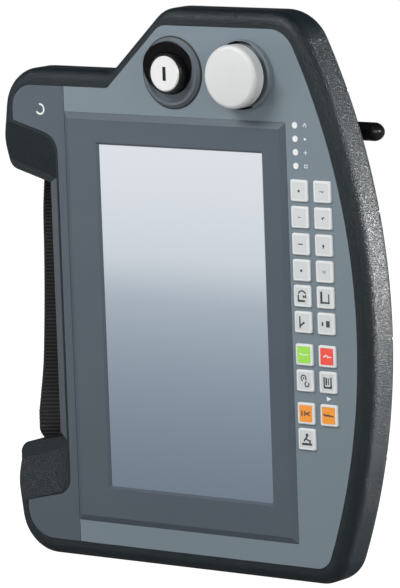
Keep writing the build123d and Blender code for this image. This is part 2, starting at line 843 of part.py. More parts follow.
with BuildPart() as key_domes:
    with BuildSketch(face(keypad_depth - dome_height)):
        with Locations(*key_places):
            Circle(0.55 * dome_radius)
    extrude(amount=dome_height / 2, dir=inward)
    with BuildSketch(face(keypad_depth - dome_height / 2)):
        with Locations(*key_places):
            Circle(dome_radius)
    extrude(amount=dome_height / 2, dir=inward)
finish(key_domes.part, "key_domes")

# The 19 keys: a cap with a shallow dished top, a flange that the foil keeps in, and a stem
for number, (x, z) in enumerate(key_places, 1):
    with BuildPart() as key:
        with BuildSketch(face(-key_proud)):
            with Locations((x, z)):
                RectangleRounded(key_width, key_height, key_corner)
        extrude(amount=key_proud + key_back, dir=inward)
        chamfer(key.faces().sort_by(Axis.Y)[0].edges(), key_bevel)
        with BuildSketch(face(-key_proud)):
            with Locations((x, z)):
                Rectangle(key_width - 2 * key_frame, key_height - 2 * key_frame)
        extrude(amount=key_dish, dir=inward, mode=Mode.SUBTRACT)
        with BuildSketch(face(key_back)):
            with Locations((x, z)):
                Rectangle(key_width + 2 * key_flange, key_height + 2 * key_flange)
        extrude(amount=key_flange_thickness, dir=inward)
        with BuildSketch(face(key_back)):
            with Locations((x, z)):
                Circle(key_stem_radius)
        extrude(amount=key_stem - key_back, dir=inward)
    finish(key.part, f"key_{number:02d}")

# Clear caps over the four status lamps
with BuildPart() as status_lenses:
    with BuildSketch(face(-lamp_rim)):
        with Locations(*lamp_places):
            Circle(lamp_radius + lamp_rim)
    extrude(amount=lamp_rim, dir=inward)
    with BuildSketch(face(0)):
        with Locations(*lamp_places):
            Circle(lamp_radius)
    extrude(amount=keypad_depth - lamp_chip - lamp_fit, dir=inward)
finish(status_lenses.part, "status_lenses")


def long_edges(block):
    """The edges of a contact block that run from front to back."""
    return block.edges().filter_by(Axis.Y).filter_by(lambda edge: edge.length > block_depth / 2)


def turned(x, z, profile):
    """A turned solid about an axis from front to back, from corners of radius and depth."""
    with BuildPart() as body:
        with BuildSketch(turning(x, z)):
            with BuildLine():
                Polyline(*profile, close=True)
            make_face()
        revolve(axis=turning_axis(x, z))
    return body.part


# Emergency stop: collar and barrel through the panel
hub_radius = 7.5
rod_radius = 4.0
guide_radius = hub_radius + running_gap
collar_front = 6.5
collar_flange = 1.8
collar_flange_radius = 19.5
skirt_radius = 16.8
skirt_fit = 0.5
skirt_edge = 7.0
skirt_roof = skirt_edge + estop_travel
head_end = 2.0
rod_front = 13.9
plunger_radius = 7.0
pusher_radius = 3.0
pusher_end = barrel_end + 1
block_bore = 3.4
block_bevel = 2.0
estop_collar = turned(
    estop_x,
    estop_z,
    [
        (guide_radius, -collar_front),
        (skirt_radius - skirt_fit, -collar_front),
        (skirt_radius - skirt_fit, -collar_flange),
        (collar_flange_radius, -collar_flange),
        (collar_flange_radius, 0),
        (device_barrel, 0),
        (device_barrel, barrel_end),
        (guide_radius, barrel_end),
    ],
)
finish(estop_collar, "estop_collar")

# The mushroom head: domed face, hollow skirt that closes over the collar, and a hub
with BuildPart() as estop_head:
    with BuildSketch(turning(estop_x, estop_z)):
        with BuildLine():
            shoulder = (estop_radius - 3.2, -estop_proud + estop_dome)
            ThreePointArc((0, -estop_proud), (estop_radius / 2, -estop_proud + 0.3 * estop_dome), shoulder)
            edge = (estop_radius, -estop_proud + 4 * estop_dome)
            ThreePointArc(shoulder, (estop_radius - 1.0, -estop_proud + 2 * estop_dome), edge)
            Polyline(
                edge,
                (estop_radius, -skirt_edge),
                (skirt_radius, -skirt_edge),
                (skirt_radius, -skirt_roof),
                (hub_radius, -skirt_roof),
                (hub_radius, head_end),
                (rod_radius + running_gap, head_end),
                (rod_radius + running_gap, -rod_front - running_gap),
                (0, -rod_front - running_gap),
                (0, -estop_proud),
            )
        make_face()
    revolve(axis=turning_axis(estop_x, estop_z))
finish(estop_head.part, "estop_head")

# The plunger that the head turns on, with the flange that its spring pushes against
flange_front = 7.5
flange_back = 9.5
estop_plunger = turned(
    estop_x,
    estop_z,
    [
        (0, -rod_front),
        (rod_radius, -rod_front),
        (rod_radius, flange_front),
        (plunger_radius, flange_front),
        (plunger_radius, flange_back),
        (pusher_radius, flange_back),
        (pusher_radius, pusher_end),
        (0, pusher_end),
    ],
)
finish(estop_plunger, "estop_plunger")

# Return spring between that flange and the contact block
spring_wire = 0.9
spring_radius = 5.6
spring_turns = 4
spring_gap = 0.05
spring_length = barrel_end - flange_back - spring_wire - 2 * spring_gap
with BuildPart() as estop_spring:
    with BuildLine() as coil:
        Helix(
            pitch=spring_length / spring_turns,
            height=spring_length,
            radius=spring_radius,
            center=at(estop_x, flange_back + spring_wire / 2 + spring_gap, estop_z),
            direction=(0, 1, 0),
        )
    with BuildSketch(Plane(origin=coil.line @ 0, z_dir=coil.line % 0)):
        RegularPolygon(spring_wire / 2, 6)
    sweep(path=coil.line)
finish(estop_spring.part, "estop_spring")

# Contact block behind the barrel
with BuildPart() as estop_contact_block:
    with BuildSketch(face(barrel_end)):
        with Locations((estop_x, estop_z)):
            Rectangle(block_width, block_height)
    extrude(amount=block_depth, dir=inward)
    with BuildSketch(face(barrel_end)):
        with Locations((estop_x, estop_z)):
            Circle(block_bore)
    extrude(amount=pusher_end - barrel_end + estop_travel + 1, dir=inward, mode=Mode.SUBTRACT)
    chamfer(long_edges(estop_contact_block), block_bevel)
    with BuildSketch(face(barrel_end + block_depth)):
        with Locations((estop_x, estop_z)):
            with GridLocations(0.4 * block_width, 0.4 * block_height, 2, 2):
                Rectangle(block_width / 5, block_height / 5)
    extrude(amount=-terminal_depth, dir=inward, mode=Mode.SUBTRACT)
finish(estop_contact_block.part, "estop_contact_block")

# Key switch: low collar, raised barrel, and the plug that the key turns
lock_step = 5.0
lock_bevel = 0.7
plug_stem = 5.0
plug_end = barrel_end + 2
collar_dish = 0.8
collar_rim = 2.6
collar_gap = 0.2
key_slot_width = 2.0
key_slot_height = 8.6
key_slot_depth = 16.0
keyswitch_collar = turned(
    lock_x,
    lock_z,
    [
        (lock_barrel + collar_gap, -collar_dish),
        (lock_collar_radius - 4.4, -collar_dish),
        (lock_collar_radius - 3.4, -collar_rim),
        (lock_collar_radius - 2.0, -collar_rim),
        (lock_collar_radius, -collar_dish),
        (lock_collar_radius, 0),
        (lock_barrel + collar_gap, 0),
    ],
)
finish(keyswitch_collar, "keyswitch_collar")

keyswitch_barrel = turned(
    lock_x,
    lock_z,
    [
        (lock_face_radius + running_gap, -lock_proud + lock_bevel),
        (lock_barrel - lock_bevel, -lock_proud + lock_bevel),
        (lock_barrel, -lock_proud + 2 * lock_bevel),
        (lock_barrel, 0),
        (device_barrel, 0),
        (device_barrel, barrel_end),
        (plug_stem + running_gap, barrel_end),
        (plug_stem + running_gap, -lock_step),
        (lock_face_radius + running_gap, -lock_step),
    ],
)
finish(keyswitch_barrel, "keyswitch_barrel")

with BuildPart() as keyswitch_rotor:
    add(
        turned(
            lock_x,
            lock_z,
            [
                (0, -lock_proud),
                (lock_face_radius - lock_bevel, -lock_proud),
                (lock_face_radius, -lock_proud + lock_bevel),
                (lock_face_radius, -lock_step - running_gap),
                (plug_stem, -lock_step - running_gap),
                (plug_stem, plug_end),
                (0, plug_end),
            ],
        )
    )
    with BuildSketch(face(-lock_proud)):
        with Locations((lock_x, lock_z)):
            Rectangle(key_slot_width, key_slot_height)
    extrude(amount=key_slot_depth, dir=inward, mode=Mode.SUBTRACT)
finish(keyswitch_rotor.part, "keyswitch_rotor")

with BuildPart() as keyswitch_contact_block:
    with BuildSketch(face(barrel_end)):
        with Locations((lock_x, lock_z)):
            Rectangle(block_width, block_width)
    extrude(amount=block_depth - 4, dir=inward)
    with BuildSketch(face(barrel_end)):
        with Locations((lock_x, lock_z)):
            Circle(plug_stem + collar_gap)
    extrude(amount=plug_end - barrel_end + 1, dir=inward, mode=Mode.SUBTRACT)
    chamfer(long_edges(keyswitch_contact_block), block_bevel)
finish(keyswitch_contact_block.part, "keyswitch_contact_block")

# Ring nuts that clamp both devices to the carrier plate
with BuildPart() as panel_nuts:
    with BuildSketch(face(panel_back)):
        with Locations(*device_places):
            RegularPolygon(nut_radius, 12)
            Circle(device_barrel + pin_fit, mode=Mode.SUBTRACT)
    extrude(amount=nut_thickness, dir=inward)
finish(panel_nuts.part, "panel_nuts")

# Stylus: a thick barrel with a domed cap at the right and its nib at the left
with BuildPart() as stylus:
    with BuildSketch(Plane(origin=at(0, stylus_depth, stylus_z), x_dir=(1, 0, 0), z_dir=(0, -1, 0))):
        with BuildLine():
            nib = stylus_end - stylus_length
            dome = stylus_end - stylus_dome
            groove = stylus_end - cap_length
            Polyline(
                (dome, stylus_radius),
                (groove, stylus_radius),
                (groove, stylus_radius - cap_groove),
                (groove - 2 * cap_groove, stylus_radius - cap_groove),
                (groove - 2 * cap_groove, stylus_radius),
                (nib + nib_length, stylus_radius),
                (nib + nib_length / 4, 2 * nib_radius),
                (nib, nib_radius),
                (nib, 0),
                (stylus_end, 0),
            )
            bulge = (stylus_end - 0.37 * stylus_dome, 0.66 * stylus_radius)
            ThreePointArc((stylus_end, 0), bulge, (dome, stylus_radius))
        make_face()
    revolve(axis=Axis(at(0, stylus_depth, stylus_z), (1, 0, 0)))
finish(stylus.part, "stylus")

# Enabling lever: a bowed bar on a pin, pressed in by the fingers
with BuildPart() as enabling_lever:
    with BuildSketch(level(-lever_half)):
        with BuildLine():
            Polyline(
                (lever_right, lever_inner + lever_edge),
                (lever_right, lever_hub),
                (lever_pin_x - 2 * lever_pin_radius, lever_hub),
                (lever_pin_x - 3 * lever_pin_radius, lever_inner),
                (lever_left, lever_inner),
                (lever_left, lever_inner + lever_edge),
            )
            ThreePointArc(
                (lever_left, lever_inner + lever_edge),
                (switch_x, lever_inner + lever_bow),
                (lever_right, lever_inner + lever_edge),
            )
        make_face()
        with Locations((lever_pin_x, lever_pin_depth)):
            Circle(lever_pin_radius + running_gap, mode=Mode.SUBTRACT)
    extrude(amount=2 * lever_half)
    bowed = enabling_lever.faces().filter_by(Axis.Z).edges().filter_by(GeomType.CIRCLE)
    chamfer(bowed.filter_by(lambda edge: edge.radius > 2 * lever_pin_radius), lever_bevel)
finish(enabling_lever.part, "enabling_lever")

with BuildPart() as enabling_pin:
    with BuildSketch(level(-pin_reach)):
        with Locations((lever_pin_x, lever_pin_depth)):
            Circle(lever_pin_radius)
    extrude(amount=2 * pin_reach)
finish(enabling_pin.part, "enabling_pin")

# Enabling switch, mounted on the floor of the pocket with its plunger through it
switch_height = 10.5
switch_width = 14.0
switch_length = 36.0
switch_corner = 1.5
switch_seat = pocket_front - pocket_floor
switch_dip = (lever_pin_x - switch_x + switch_plunger) * sin(radians(lever_travel))
switch_tip = lever_inner - switch_dip - 0.2
with BuildPart() as enabling_switch:
    with BuildSketch(face(switch_seat - switch_height)):
        with Locations((switch_x, 0)):
            RectangleRounded(switch_width, switch_length, switch_corner)
    extrude(amount=switch_height, dir=inward)
    with BuildSketch(face(switch_seat)):
        with Locations((switch_x, 0)):
            Circle(switch_plunger)
    extrude(amount=switch_tip - switch_seat, dir=inward)
finish(enabling_switch.part, "enabling_switch")

# Connection cover on the back, with its screws
with BuildPart() as connection_cover:
    with BuildSketch(face(back_depth - cover_thickness)):
        with Locations((cover_x, cover_z)):
            RectangleRounded(cover_width, cover_height, cover_corner)
    extrude(amount=cover_thickness, dir=inward)
    chamfer(connection_cover.faces().sort_by(Axis.Y)[-1].edges(), 2 * cover_gap)
    with BuildSketch(face(back_depth - cover_thickness)):
        with Locations(*cover_screws_at):
            Circle(cover_screw + thread_fit)
    extrude(amount=cover_thickness, dir=inward, mode=Mode.SUBTRACT)
    with BuildSketch(face(back_depth)):
        with Locations(*cover_screws_at):
            Circle(cover_screw_head + 2 * thread_fit)
    extrude(amount=-cover_screw_sink - thread_fit, dir=inward, mode=Mode.SUBTRACT)
finish(connection_cover.part, "connection_cover")

with BuildPart() as cover_screws:
    with BuildSketch(face(back_depth)):
        with Locations(*cover_screws_at):
            Circle(cover_screw_head)
    extrude(amount=-cover_screw_sink, dir=inward)
    with BuildSketch(face(back_depth)):
        with Locations(*cover_screws_at):
            Circle(cover_screw)
    extrude(amount=-cover_thickness - cover_frame, dir=inward)
finish(cover_screws.part, "cover_screws")

# Cable gland in the ceiling of the notch, and the nut that clamps the cable
gland_hex = gland_flats / 2 / cos(radians(30))
nut_top = notch_top - gland_body - 2
with BuildPart() as cable_gland:
    with BuildSketch(level(notch_top)):
        with Locations((gland_x, gland_depth)):
            RegularPolygon(gland_hex, 6)
    extrude(amount=-gland_body)
    with BuildSketch(level(notch_top)):
        with Locations((gland_x, gland_depth)):
            Circle(gland_thread)
    extrude(amount=2 * wall + gland_thread_end)
    with BuildSketch(level(notch_top - gland_body)):
        with Locations((gland_x, gland_depth)):
            Circle(gland_sleeve)
    extrude(amount=-gland_grip)
    with BuildSketch(level(notch_top)):
        with Locations((gland_x, gland_depth)):
            Circle(gland_bore)
    extrude(amount=2 * notch_height, both=True, mode=Mode.SUBTRACT)
finish(cable_gland.part, "cable_gland")

with BuildPart() as gland_nut:
    with BuildSketch(level(nut_top)):
        with Locations((gland_x, gland_depth)):
            RegularPolygon(gland_hex, 6)
    extrude(amount=-nut_height)
    with BuildSketch(level(nut_top - nut_height)):
        with Locations((gland_x, gland_depth)):
            Circle(gland_flats / 2 - 0.6)
    extrude(amount=-nut_cone, taper=20)
    with BuildSketch(level(nut_top)):
        with Locations((gland_x, gland_depth)):
            Circle(gland_sleeve + thread_fit)
    extrude(amount=-(nut_top - notch_top + gland_body + gland_grip + 2 * thread_fit), mode=Mode.SUBTRACT)
    with BuildSketch(level(nut_top)):
        with Locations((gland_x, gland_depth)):
            Circle(gland_bore)
    extrude(amount=-notch_height, mode=Mode.SUBTRACT)
finish(gland_nut.part, "gland_nut")

# Places on the strap's own slanted plane: along its width, and up
clamp_short = 8.0
clamp_corner = 3.0
strap_flat = 42.0
strap_bend = 60.0
strap_bite = 6.0
anchor_foot = 8.0
strap_screws_at = [(sx * strap_screws_out, sz * strap_mid) for sx in (-1, 1) for sz in (-1, 1)]
across_plane = Plane(origin=at(strap_x, strap_depth, 0), x_dir=across, z_dir=outward)
feet_at = [
    (back_left + 12, shell_bottom + 21.3),
    (side_bow - 63.4, shell_bottom + 33.3),
    (back_left + 12, shoulder_height - 20.2),
    (side_bow - 65.4, back_top - 21),
]

# Hand strap: a band from lobe to lobe, bowed outwards for the hand
strap_plane = Plane(origin=at(strap_x, strap_depth, 0), x_dir=outward, z_dir=across)
with BuildPart() as hand_strap:
    with BuildSketch(strap_plane) as strap_section:
        with BuildLine():
            FilletPolyline(
                (0, strap_end),
                (0, clamp_inner),
                (strap_bow, strap_flat),
                (strap_bow, -strap_flat),
                (0, -clamp_inner),
                (0, -strap_end),
                radius=strap_bend,
            )
        trace(line_width=strap_thickness)
    extrude(amount=strap_width / 2, both=True)
    with BuildSketch(across_plane):
        with Locations(*strap_screws_at):
            Circle(strap_screw + strap_hole)
    extrude(amount=clamp_out, both=True, mode=Mode.SUBTRACT)
finish(hand_strap.part, "hand_strap")

# Anchors: wedges on the back of the lobes that give the strap its slanted seats
seat_x = strap_x + strap_thickness / 2 * sqrt(0.5)
seat_depth = strap_depth - strap_thickness / 2 * sqrt(0.5)
seat_rise = strap_width / 2 * sqrt(0.5)
with BuildPart() as strap_anchors:
    for low in (clamp_inner, -strap_end):
        with BuildSketch(level(low)):
            with BuildLine():
                Polyline(
                    (seat_x + rim_depth - seat_depth, rim_depth),
                    (seat_x + seat_rise, seat_depth + seat_rise),
                    (seat_x + seat_rise + 2 * wall, seat_depth + seat_rise),
                    (seat_x + seat_rise + 2 * wall + anchor_foot, rim_depth),
                    close=True,
                )
            make_face()
        extrude(amount=strap_end - clamp_inner)
    with BuildSketch(across_plane.offset(-strap_thickness / 2)):
        with Locations(*strap_screws_at):
            Circle(strap_screw + screw_fit)
    extrude(amount=-strap_bite, mode=Mode.SUBTRACT)
finish(strap_anchors.part, "strap_anchors")

with BuildPart() as strap_clamps:
    with BuildSketch(across_plane.offset(strap_thickness / 2)):
        with Locations((0, strap_mid), (0, -strap_mid)):
            RectangleRounded(clamp_width, strap_end - clamp_inner - clamp_short, clamp_corner)
        with Locations(*strap_screws_at):
            Circle(strap_screw + screw_fit, mode=Mode.SUBTRACT)
    extrude(amount=clamp_thickness)
finish(strap_clamps.part, "strap_clamps")

with BuildPart() as strap_screws:
    with BuildSketch(across_plane.offset(clamp_out)):
        with Locations(*strap_screws_at):
            Circle(strap_screw_head)
    extrude(amount=strap_screw)
    with BuildSketch(across_plane.offset(clamp_out)):
        with Locations(*strap_screws_at):
            Circle(strap_screw)
    extrude(amount=-(clamp_out + strap_thickness / 2 + strap_bite - 1))
finish(strap_screws.part, "strap_screws")

# Rubber feet that the pendant lies on when it is put down on its back
with BuildPart() as rear_feet:
    with BuildSketch(face(back_depth)):
        with Locations(*feet_at):
            Circle(foot_radius)
    extrude(amount=foot_height, dir=inward)
    chamfer(rear_feet.faces().sort_by(Axis.Y)[-len(feet_at):].edges(), foot_height / 3)
finish(rear_feet.part, "rear_feet")
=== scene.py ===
# Hand-held teach pendant: black soft-touch housing, blue-grey front foil, upright touch display.
# Metres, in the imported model's frame: X right, Y into the housing, Z up, standing on the floor.

import math

import bpy
import bmesh
from mathutils import Matrix, Vector


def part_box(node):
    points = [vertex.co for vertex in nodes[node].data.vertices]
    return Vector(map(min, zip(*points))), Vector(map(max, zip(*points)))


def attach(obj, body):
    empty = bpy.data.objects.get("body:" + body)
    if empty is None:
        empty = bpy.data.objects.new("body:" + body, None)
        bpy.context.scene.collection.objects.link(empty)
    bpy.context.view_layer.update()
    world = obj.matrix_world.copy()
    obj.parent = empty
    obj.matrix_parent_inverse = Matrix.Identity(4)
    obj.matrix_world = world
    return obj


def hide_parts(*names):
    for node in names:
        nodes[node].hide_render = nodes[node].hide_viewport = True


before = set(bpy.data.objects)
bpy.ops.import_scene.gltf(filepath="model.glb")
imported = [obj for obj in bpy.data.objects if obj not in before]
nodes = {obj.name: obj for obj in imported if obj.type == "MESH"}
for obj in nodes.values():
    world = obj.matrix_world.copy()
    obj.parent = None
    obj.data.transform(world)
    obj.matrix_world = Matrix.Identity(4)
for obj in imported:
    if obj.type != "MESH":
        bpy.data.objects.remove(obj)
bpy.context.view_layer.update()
mm = 0.001


# Camera. It stands to the right of the pendant and a little above it, and looks along the
# photograph's line of sight with a long lens.
def placed(name, data):
    """A new object in the scene."""
    thing = bpy.data.objects.new(name, data)
    bpy.context.scene.collection.objects.link(thing)
    return thing


sight = bpy.data.cameras.new("camera")
sight.sensor_fit = "VERTICAL"
sight.sensor_height = 36
sight.lens = 299.4
sight.clip_start = 0.05
sight.clip_end = 60
camera = placed("camera", sight)
camera.matrix_world = Matrix(
    (
        (0.79738, -0.06168, 0.60032, 1.87678),
        (0.60245, 0.13947, -0.78588, -2.46206),
        (-0.03525, 0.98830, 0.14837, 0.64088),
        (0, 0, 0, 1),
    )
)
bpy.context.scene.camera = camera
bpy.context.scene.view_settings.view_transform = "Standard"


# Studio. A white floor with five soft lamps: the key lamp high before the left side, a broad fill
# beside the camera, a bright one behind the right-hand side, and two weak ones at left and right.
# The room is dark overhead and behind.
def lamp(name, place, target, width, height, power):
    """A soft rectangular lamp that shines from one place at another."""
    light = bpy.data.lights.new(name, "AREA")
    light.shape = "RECTANGLE"
    light.size = width
    light.size_y = height
    light.energy = power
    holder = placed(name, light)
    holder.location = place
    holder.rotation_euler = (Vector(target) - Vector(place)).to_track_quat("-Z", "Y").to_euler()


lamp("key_lamp", (-0.3, -0.8, 1.02), (0, 0, 0.34), 0.6, 0.4, 10)
lamp("fill_lamp", (1.5, -2.0, 0.8), (0, 0, 0.25), 1.2, 0.8, 11)
lamp("edge_lamp", (1.3, 1.5, 0.22), (0.1, 0, 0.18), 0.5, 0.24, 54)
lamp("left_lamp", (-1.1, -0.75, 0.12), (0, 0, 0.24), 0.4, 0.2, 1.8)
lamp("right_lamp", (1.8, -0.55, 0.75), (0, 0, 0.3), 0.6, 0.4, 10)

sky = bpy.data.worlds.new("studio")
bpy.context.scene.world = sky
sky.use_nodes = True
tree = sky.node_tree
tree.nodes.clear()
seen = tree.nodes.new("ShaderNodeLightPath")
room = tree.nodes.new("ShaderNodeBackground")
room.inputs["Color"].default_value = (0.95, 0.98, 1.0, 1)
toward = tree.nodes.new("ShaderNodeTexCoord")
apart = tree.nodes.new("ShaderNodeSeparateXYZ")
ceiling = tree.nodes.new("ShaderNodeMapRange")
ceiling.interpolation_type = "SMOOTHSTEP"
for label, value in (("From Min", 0.05), ("From Max", 0.6), ("To Min", 0.52), ("To Max", 0.05)):
    ceiling.inputs[label].default_value = value
behind = tree.nodes.new("ShaderNodeMapRange")
behind.interpolation_type = "SMOOTHSTEP"
for label, value in (("From Min", -0.3), ("From Max", 0.5), ("To Min", 1.0), ("To Max", 0.25)):
    behind.inputs[label].default_value = value
dimmed = tree.nodes.new("ShaderNodeMath")
dimmed.operation = "MULTIPLY"
tree.links.new(toward.outputs["Generated"], apart.inputs[0])
tree.links.new(apart.outputs["Z"], ceiling.inputs["Value"])
tree.links.new(apart.outputs["Y"], behind.inputs["Value"])
tree.links.new(ceiling.outputs["Result"], dimmed.inputs[0])
tree.links.new(behind.outputs["Result"], dimmed.inputs[1])
tree.links.new(dimmed.outputs[0], room.inputs["Strength"])
white = tree.nodes.new("ShaderNodeBackground")
white.inputs["Color"].default_value = (1, 1, 1, 1)
white.inputs["Strength"].default_value = 1.0
choose = tree.nodes.new("ShaderNodeMixShader")
out = tree.nodes.new("ShaderNodeOutputWorld")
tree.links.new(seen.outputs["Is Camera Ray"], choose.inputs["Fac"])
tree.links.new(room.outputs[0], choose.inputs[1])
tree.links.new(white.outputs[0], choose.inputs[2])
tree.links.new(choose.outputs[0], out.inputs["Surface"])

floor_mesh = bpy.data.meshes.new("floor")
reach = 6.0
floor_mesh.from_pydata(
    [(-reach, -reach, 0), (reach, -reach, 0), (reach, reach, 0), (-reach, reach, 0)], [], [(0, 1, 2, 3)]
)
floor = placed("floor", floor_mesh)
paper = bpy.data.materials.new("white_sweep")
paper.use_nodes = True
tree = paper.node_tree
surface = tree.nodes["Principled BSDF"]
surface.inputs["Base Color"].default_value = (0.34, 0.34, 0.34, 1)
surface.inputs["Roughness"].default_value = 0.9
surface.inputs["Specular IOR Level"].default_value = 0.1
seen = tree.nodes.new("ShaderNodeLightPath")
lift = tree.nodes.new("ShaderNodeEmission")
lift.inputs["Strength"].default_value = 0.98
both = tree.nodes.new("ShaderNodeAddShader")
choose = tree.nodes.new("ShaderNodeMixShader")
tree.links.new(surface.outputs[0], both.inputs[0])
tree.links.new(lift.outputs[0], both.inputs[1])
tree.links.new(seen.outputs["Is Camera Ray"], choose.inputs["Fac"])
tree.links.new(surface.outputs[0], choose.inputs[1])
tree.links.new(both.outputs[0], choose.inputs[2])
tree.links.new(choose.outputs[0], tree.nodes["Material Output"].inputs["Surface"])
floor_mesh.materials.append(paper)


# Housing. Two moulded halves with a soft-touch skin and a fine leather grain, closed by screws
# from the back. The same grain is on the connection cover.
def new_group(name, inputs, outputs):
    """An empty shader group with its sockets, and its input and output nodes."""
    group = bpy.data.node_groups.new(name, "ShaderNodeTree")
    for label, kind, value in inputs:
        socket = group.interface.new_socket(label, in_out="INPUT", socket_type=kind)
        socket.default_value = value
    for label, kind in outputs:
        group.interface.new_socket(label, in_out="OUTPUT", socket_type=kind)
    return group, group.nodes.new("NodeGroupInput"), group.nodes.new("NodeGroupOutput")


# Leather grain: pebbles of about a millimetre with soft valleys between them
grain, given, sent = new_group(
    "leather_grain",
    [
        ("Pebbles per metre", "NodeSocketFloat", 700.0),
        ("Unevenness", "NodeSocketFloat", 0.5),
    ],
    [("Height", "NodeSocketFloat")],
)
where = grain.nodes.new("ShaderNodeTexCoord")
warp = grain.nodes.new("ShaderNodeTexNoise")
warp.inputs["Scale"].default_value = 320
warp.inputs["Detail"].default_value = 2
shift = grain.nodes.new("ShaderNodeVectorMath")
shift.operation = "SCALE"
shift.inputs["Scale"].default_value = 0.0012
moved = grain.nodes.new("ShaderNodeVectorMath")
moved.operation = "ADD"
pebble = grain.nodes.new("ShaderNodeTexVoronoi")
pebble.feature = "DISTANCE_TO_EDGE"
smooth = grain.nodes.new("ShaderNodeMapRange")
smooth.interpolation_type = "SMOOTHSTEP"
smooth.inputs["From Max"].default_value = 0.32
fine = grain.nodes.new("ShaderNodeTexNoise")
fine.inputs["Scale"].default_value = 2600
fine.inputs["Detail"].default_value = 3
uneven = grain.nodes.new("ShaderNodeMath")
uneven.operation = "MULTIPLY_ADD"
grain.links.new(where.outputs["Object"], warp.inputs["Vector"])
grain.links.new(warp.outputs["Color"], shift.inputs[0])
grain.links.new(where.outputs["Object"], moved.inputs[0])
grain.links.new(shift.outputs[0], moved.inputs[1])
grain.links.new(moved.outputs[0], pebble.inputs["Vector"])
grain.links.new(given.outputs["Pebbles per metre"], pebble.inputs["Scale"])
grain.links.new(pebble.outputs["Distance"], smooth.inputs["Value"])
grain.links.new(where.outputs["Object"], fine.inputs["Vector"])
grain.links.new(fine.outputs["Fac"], uneven.inputs[0])
grain.links.new(given.outputs["Unevenness"], uneven.inputs[1])
grain.links.new(smooth.outputs["Result"], uneven.inputs[2])
grain.links.new(uneven.outputs[0], sent.inputs["Height"])

# Handling: cloudy patches a few centimetres wide, where a surface is a little paler and duller
cloud, given, sent = new_group(
    "handling",
    [
        ("Colour", "NodeSocketColor", (0.5, 0.5, 0.5, 1)),
        ("Paler by", "NodeSocketFloat", 0.1),
        ("Roughness", "NodeSocketFloat", 0.5),
        ("Duller by", "NodeSocketFloat", 0.08),
        ("Patches per metre", "NodeSocketFloat", 40.0),
    ],
    [("Colour", "NodeSocketColor"), ("Roughness", "NodeSocketFloat")],
)
where = cloud.nodes.new("ShaderNodeTexCoord")
patches = cloud.nodes.new("ShaderNodeTexNoise")
patches.inputs["Detail"].default_value = 4
paler = cloud.nodes.new("ShaderNodeMix")
paler.data_type = "RGBA"
paler.inputs["B"].default_value = (1, 1, 1, 1)
share = cloud.nodes.new("ShaderNodeMath")
share.operation = "MULTIPLY"
duller = cloud.nodes.new("ShaderNodeMath")
duller.operation = "MULTIPLY_ADD"
cloud.links.new(where.outputs["Object"], patches.inputs["Vector"])
cloud.links.new(given.outputs["Patches per metre"], patches.inputs["Scale"])
cloud.links.new(patches.outputs["Fac"], share.inputs[0])
cloud.links.new(given.outputs["Paler by"], share.inputs[1])
cloud.links.new(share.outputs[0], paler.inputs["Factor"])
cloud.links.new(given.outputs["Colour"], paler.inputs["A"])
cloud.links.new(patches.outputs["Fac"], duller.inputs[0])
cloud.links.new(given.outputs["Duller by"], duller.inputs[1])
cloud.links.new(given.outputs["Roughness"], duller.inputs[2])
cloud.links.new(paler.outputs["Result"], sent.inputs["Colour"])
cloud.links.new(duller.outputs[0], sent.inputs["Roughness"])


def new_finish(name, colour, roughness, paler_by=0.02, duller_by=0.08, patches_per_metre=40.0):
    """A material with the handling marks; returns it with its tree and Principled shader."""
    finish = bpy.data.materials.new(name)
    finish.use_nodes = True
    tree = finish.node_tree
    shader = tree.nodes["Principled BSDF"]
    marks = tree.nodes.new("ShaderNodeGroup")
    marks.node_tree = cloud
    marks.inputs["Colour"].default_value = (*colour, 1)
    marks.inputs["Roughness"].default_value = roughness
    marks.inputs["Paler by"].default_value = paler_by
    marks.inputs["Duller by"].default_value = duller_by
    marks.inputs["Patches per metre"].default_value = patches_per_metre
    tree.links.new(marks.outputs["Colour"], shader.inputs["Base Color"])
    tree.links.new(marks.outputs["Roughness"], shader.inputs["Roughness"])
    return finish, tree, shader


def add_grain(tree, shader, depth, per_metre, unevenness=0.35):
    """Leather grain as a bump of the given depth."""
    texture = tree.nodes.new("ShaderNodeGroup")
    texture.node_tree = grain
    texture.inputs["Pebbles per metre"].default_value = per_metre
    texture.inputs["Unevenness"].default_value = unevenness
    bump = tree.nodes.new("ShaderNodeBump")
    bump.inputs["Distance"].default_value = depth
    tree.links.new(texture.outputs["Height"], bump.inputs["Height"])
    tree.links.new(bump.outputs["Normal"], shader.inputs["Normal"])


def dress(finish, *names):
    """Give CAD nodes a finish."""
    for name in names:
        for slot in nodes[name].material_slots:
            slot.material = finish


shell_skin, tree, shader = new_finish("soft_touch_black", (0.007, 0.0135, 0.018), 0.32, 0.005, 0.1)
shader.inputs["Specular IOR Level"].default_value = 0.34
add_grain(tree, shader, 0.12 * mm, 950)
dress(shell_skin, "front_shell", "rear_shell", "connection_cover")

seal_rubber = new_finish("seal_rubber", (0.02, 0.02, 0.02), 0.7)[0]
dress(seal_rubber, "rim_seal", "rear_feet")


# Metals: zinc-plated screws, the plain sheet of the bracket, and black anodised aluminium for the
# carrier plate and the heat sink. On the carrier plate the black is painted shade for the groove
# round the foil, where the plate shows.
def brushed(name, colour, roughness, stretch):
    """A metal whose fine lines run along one axis."""
    finish, tree, shader = new_finish(name, colour, roughness, 0.05, 0.1, 90)
    shader.inputs["Metallic"].default_value = 1.0
    where = tree.nodes.new("ShaderNodeTexCoord")
    turned = tree.nodes.new("ShaderNodeMapping")
    turned.inputs["Scale"].default_value = stretch
    lines = tree.nodes.new("ShaderNodeTexNoise")
    lines.inputs["Scale"].default_value = 900
    bump = tree.nodes.new("ShaderNodeBump")
    bump.inputs["Distance"].default_value = 0.02 * mm
    tree.links.new(where.outputs["Object"], turned.inputs["Vector"])
    tree.links.new(turned.outputs[0], lines.inputs["Vector"])
    tree.links.new(lines.outputs["Fac"], bump.inputs["Height"])
    tree.links.new(bump.outputs["Normal"], shader.inputs["Normal"])
    return finish


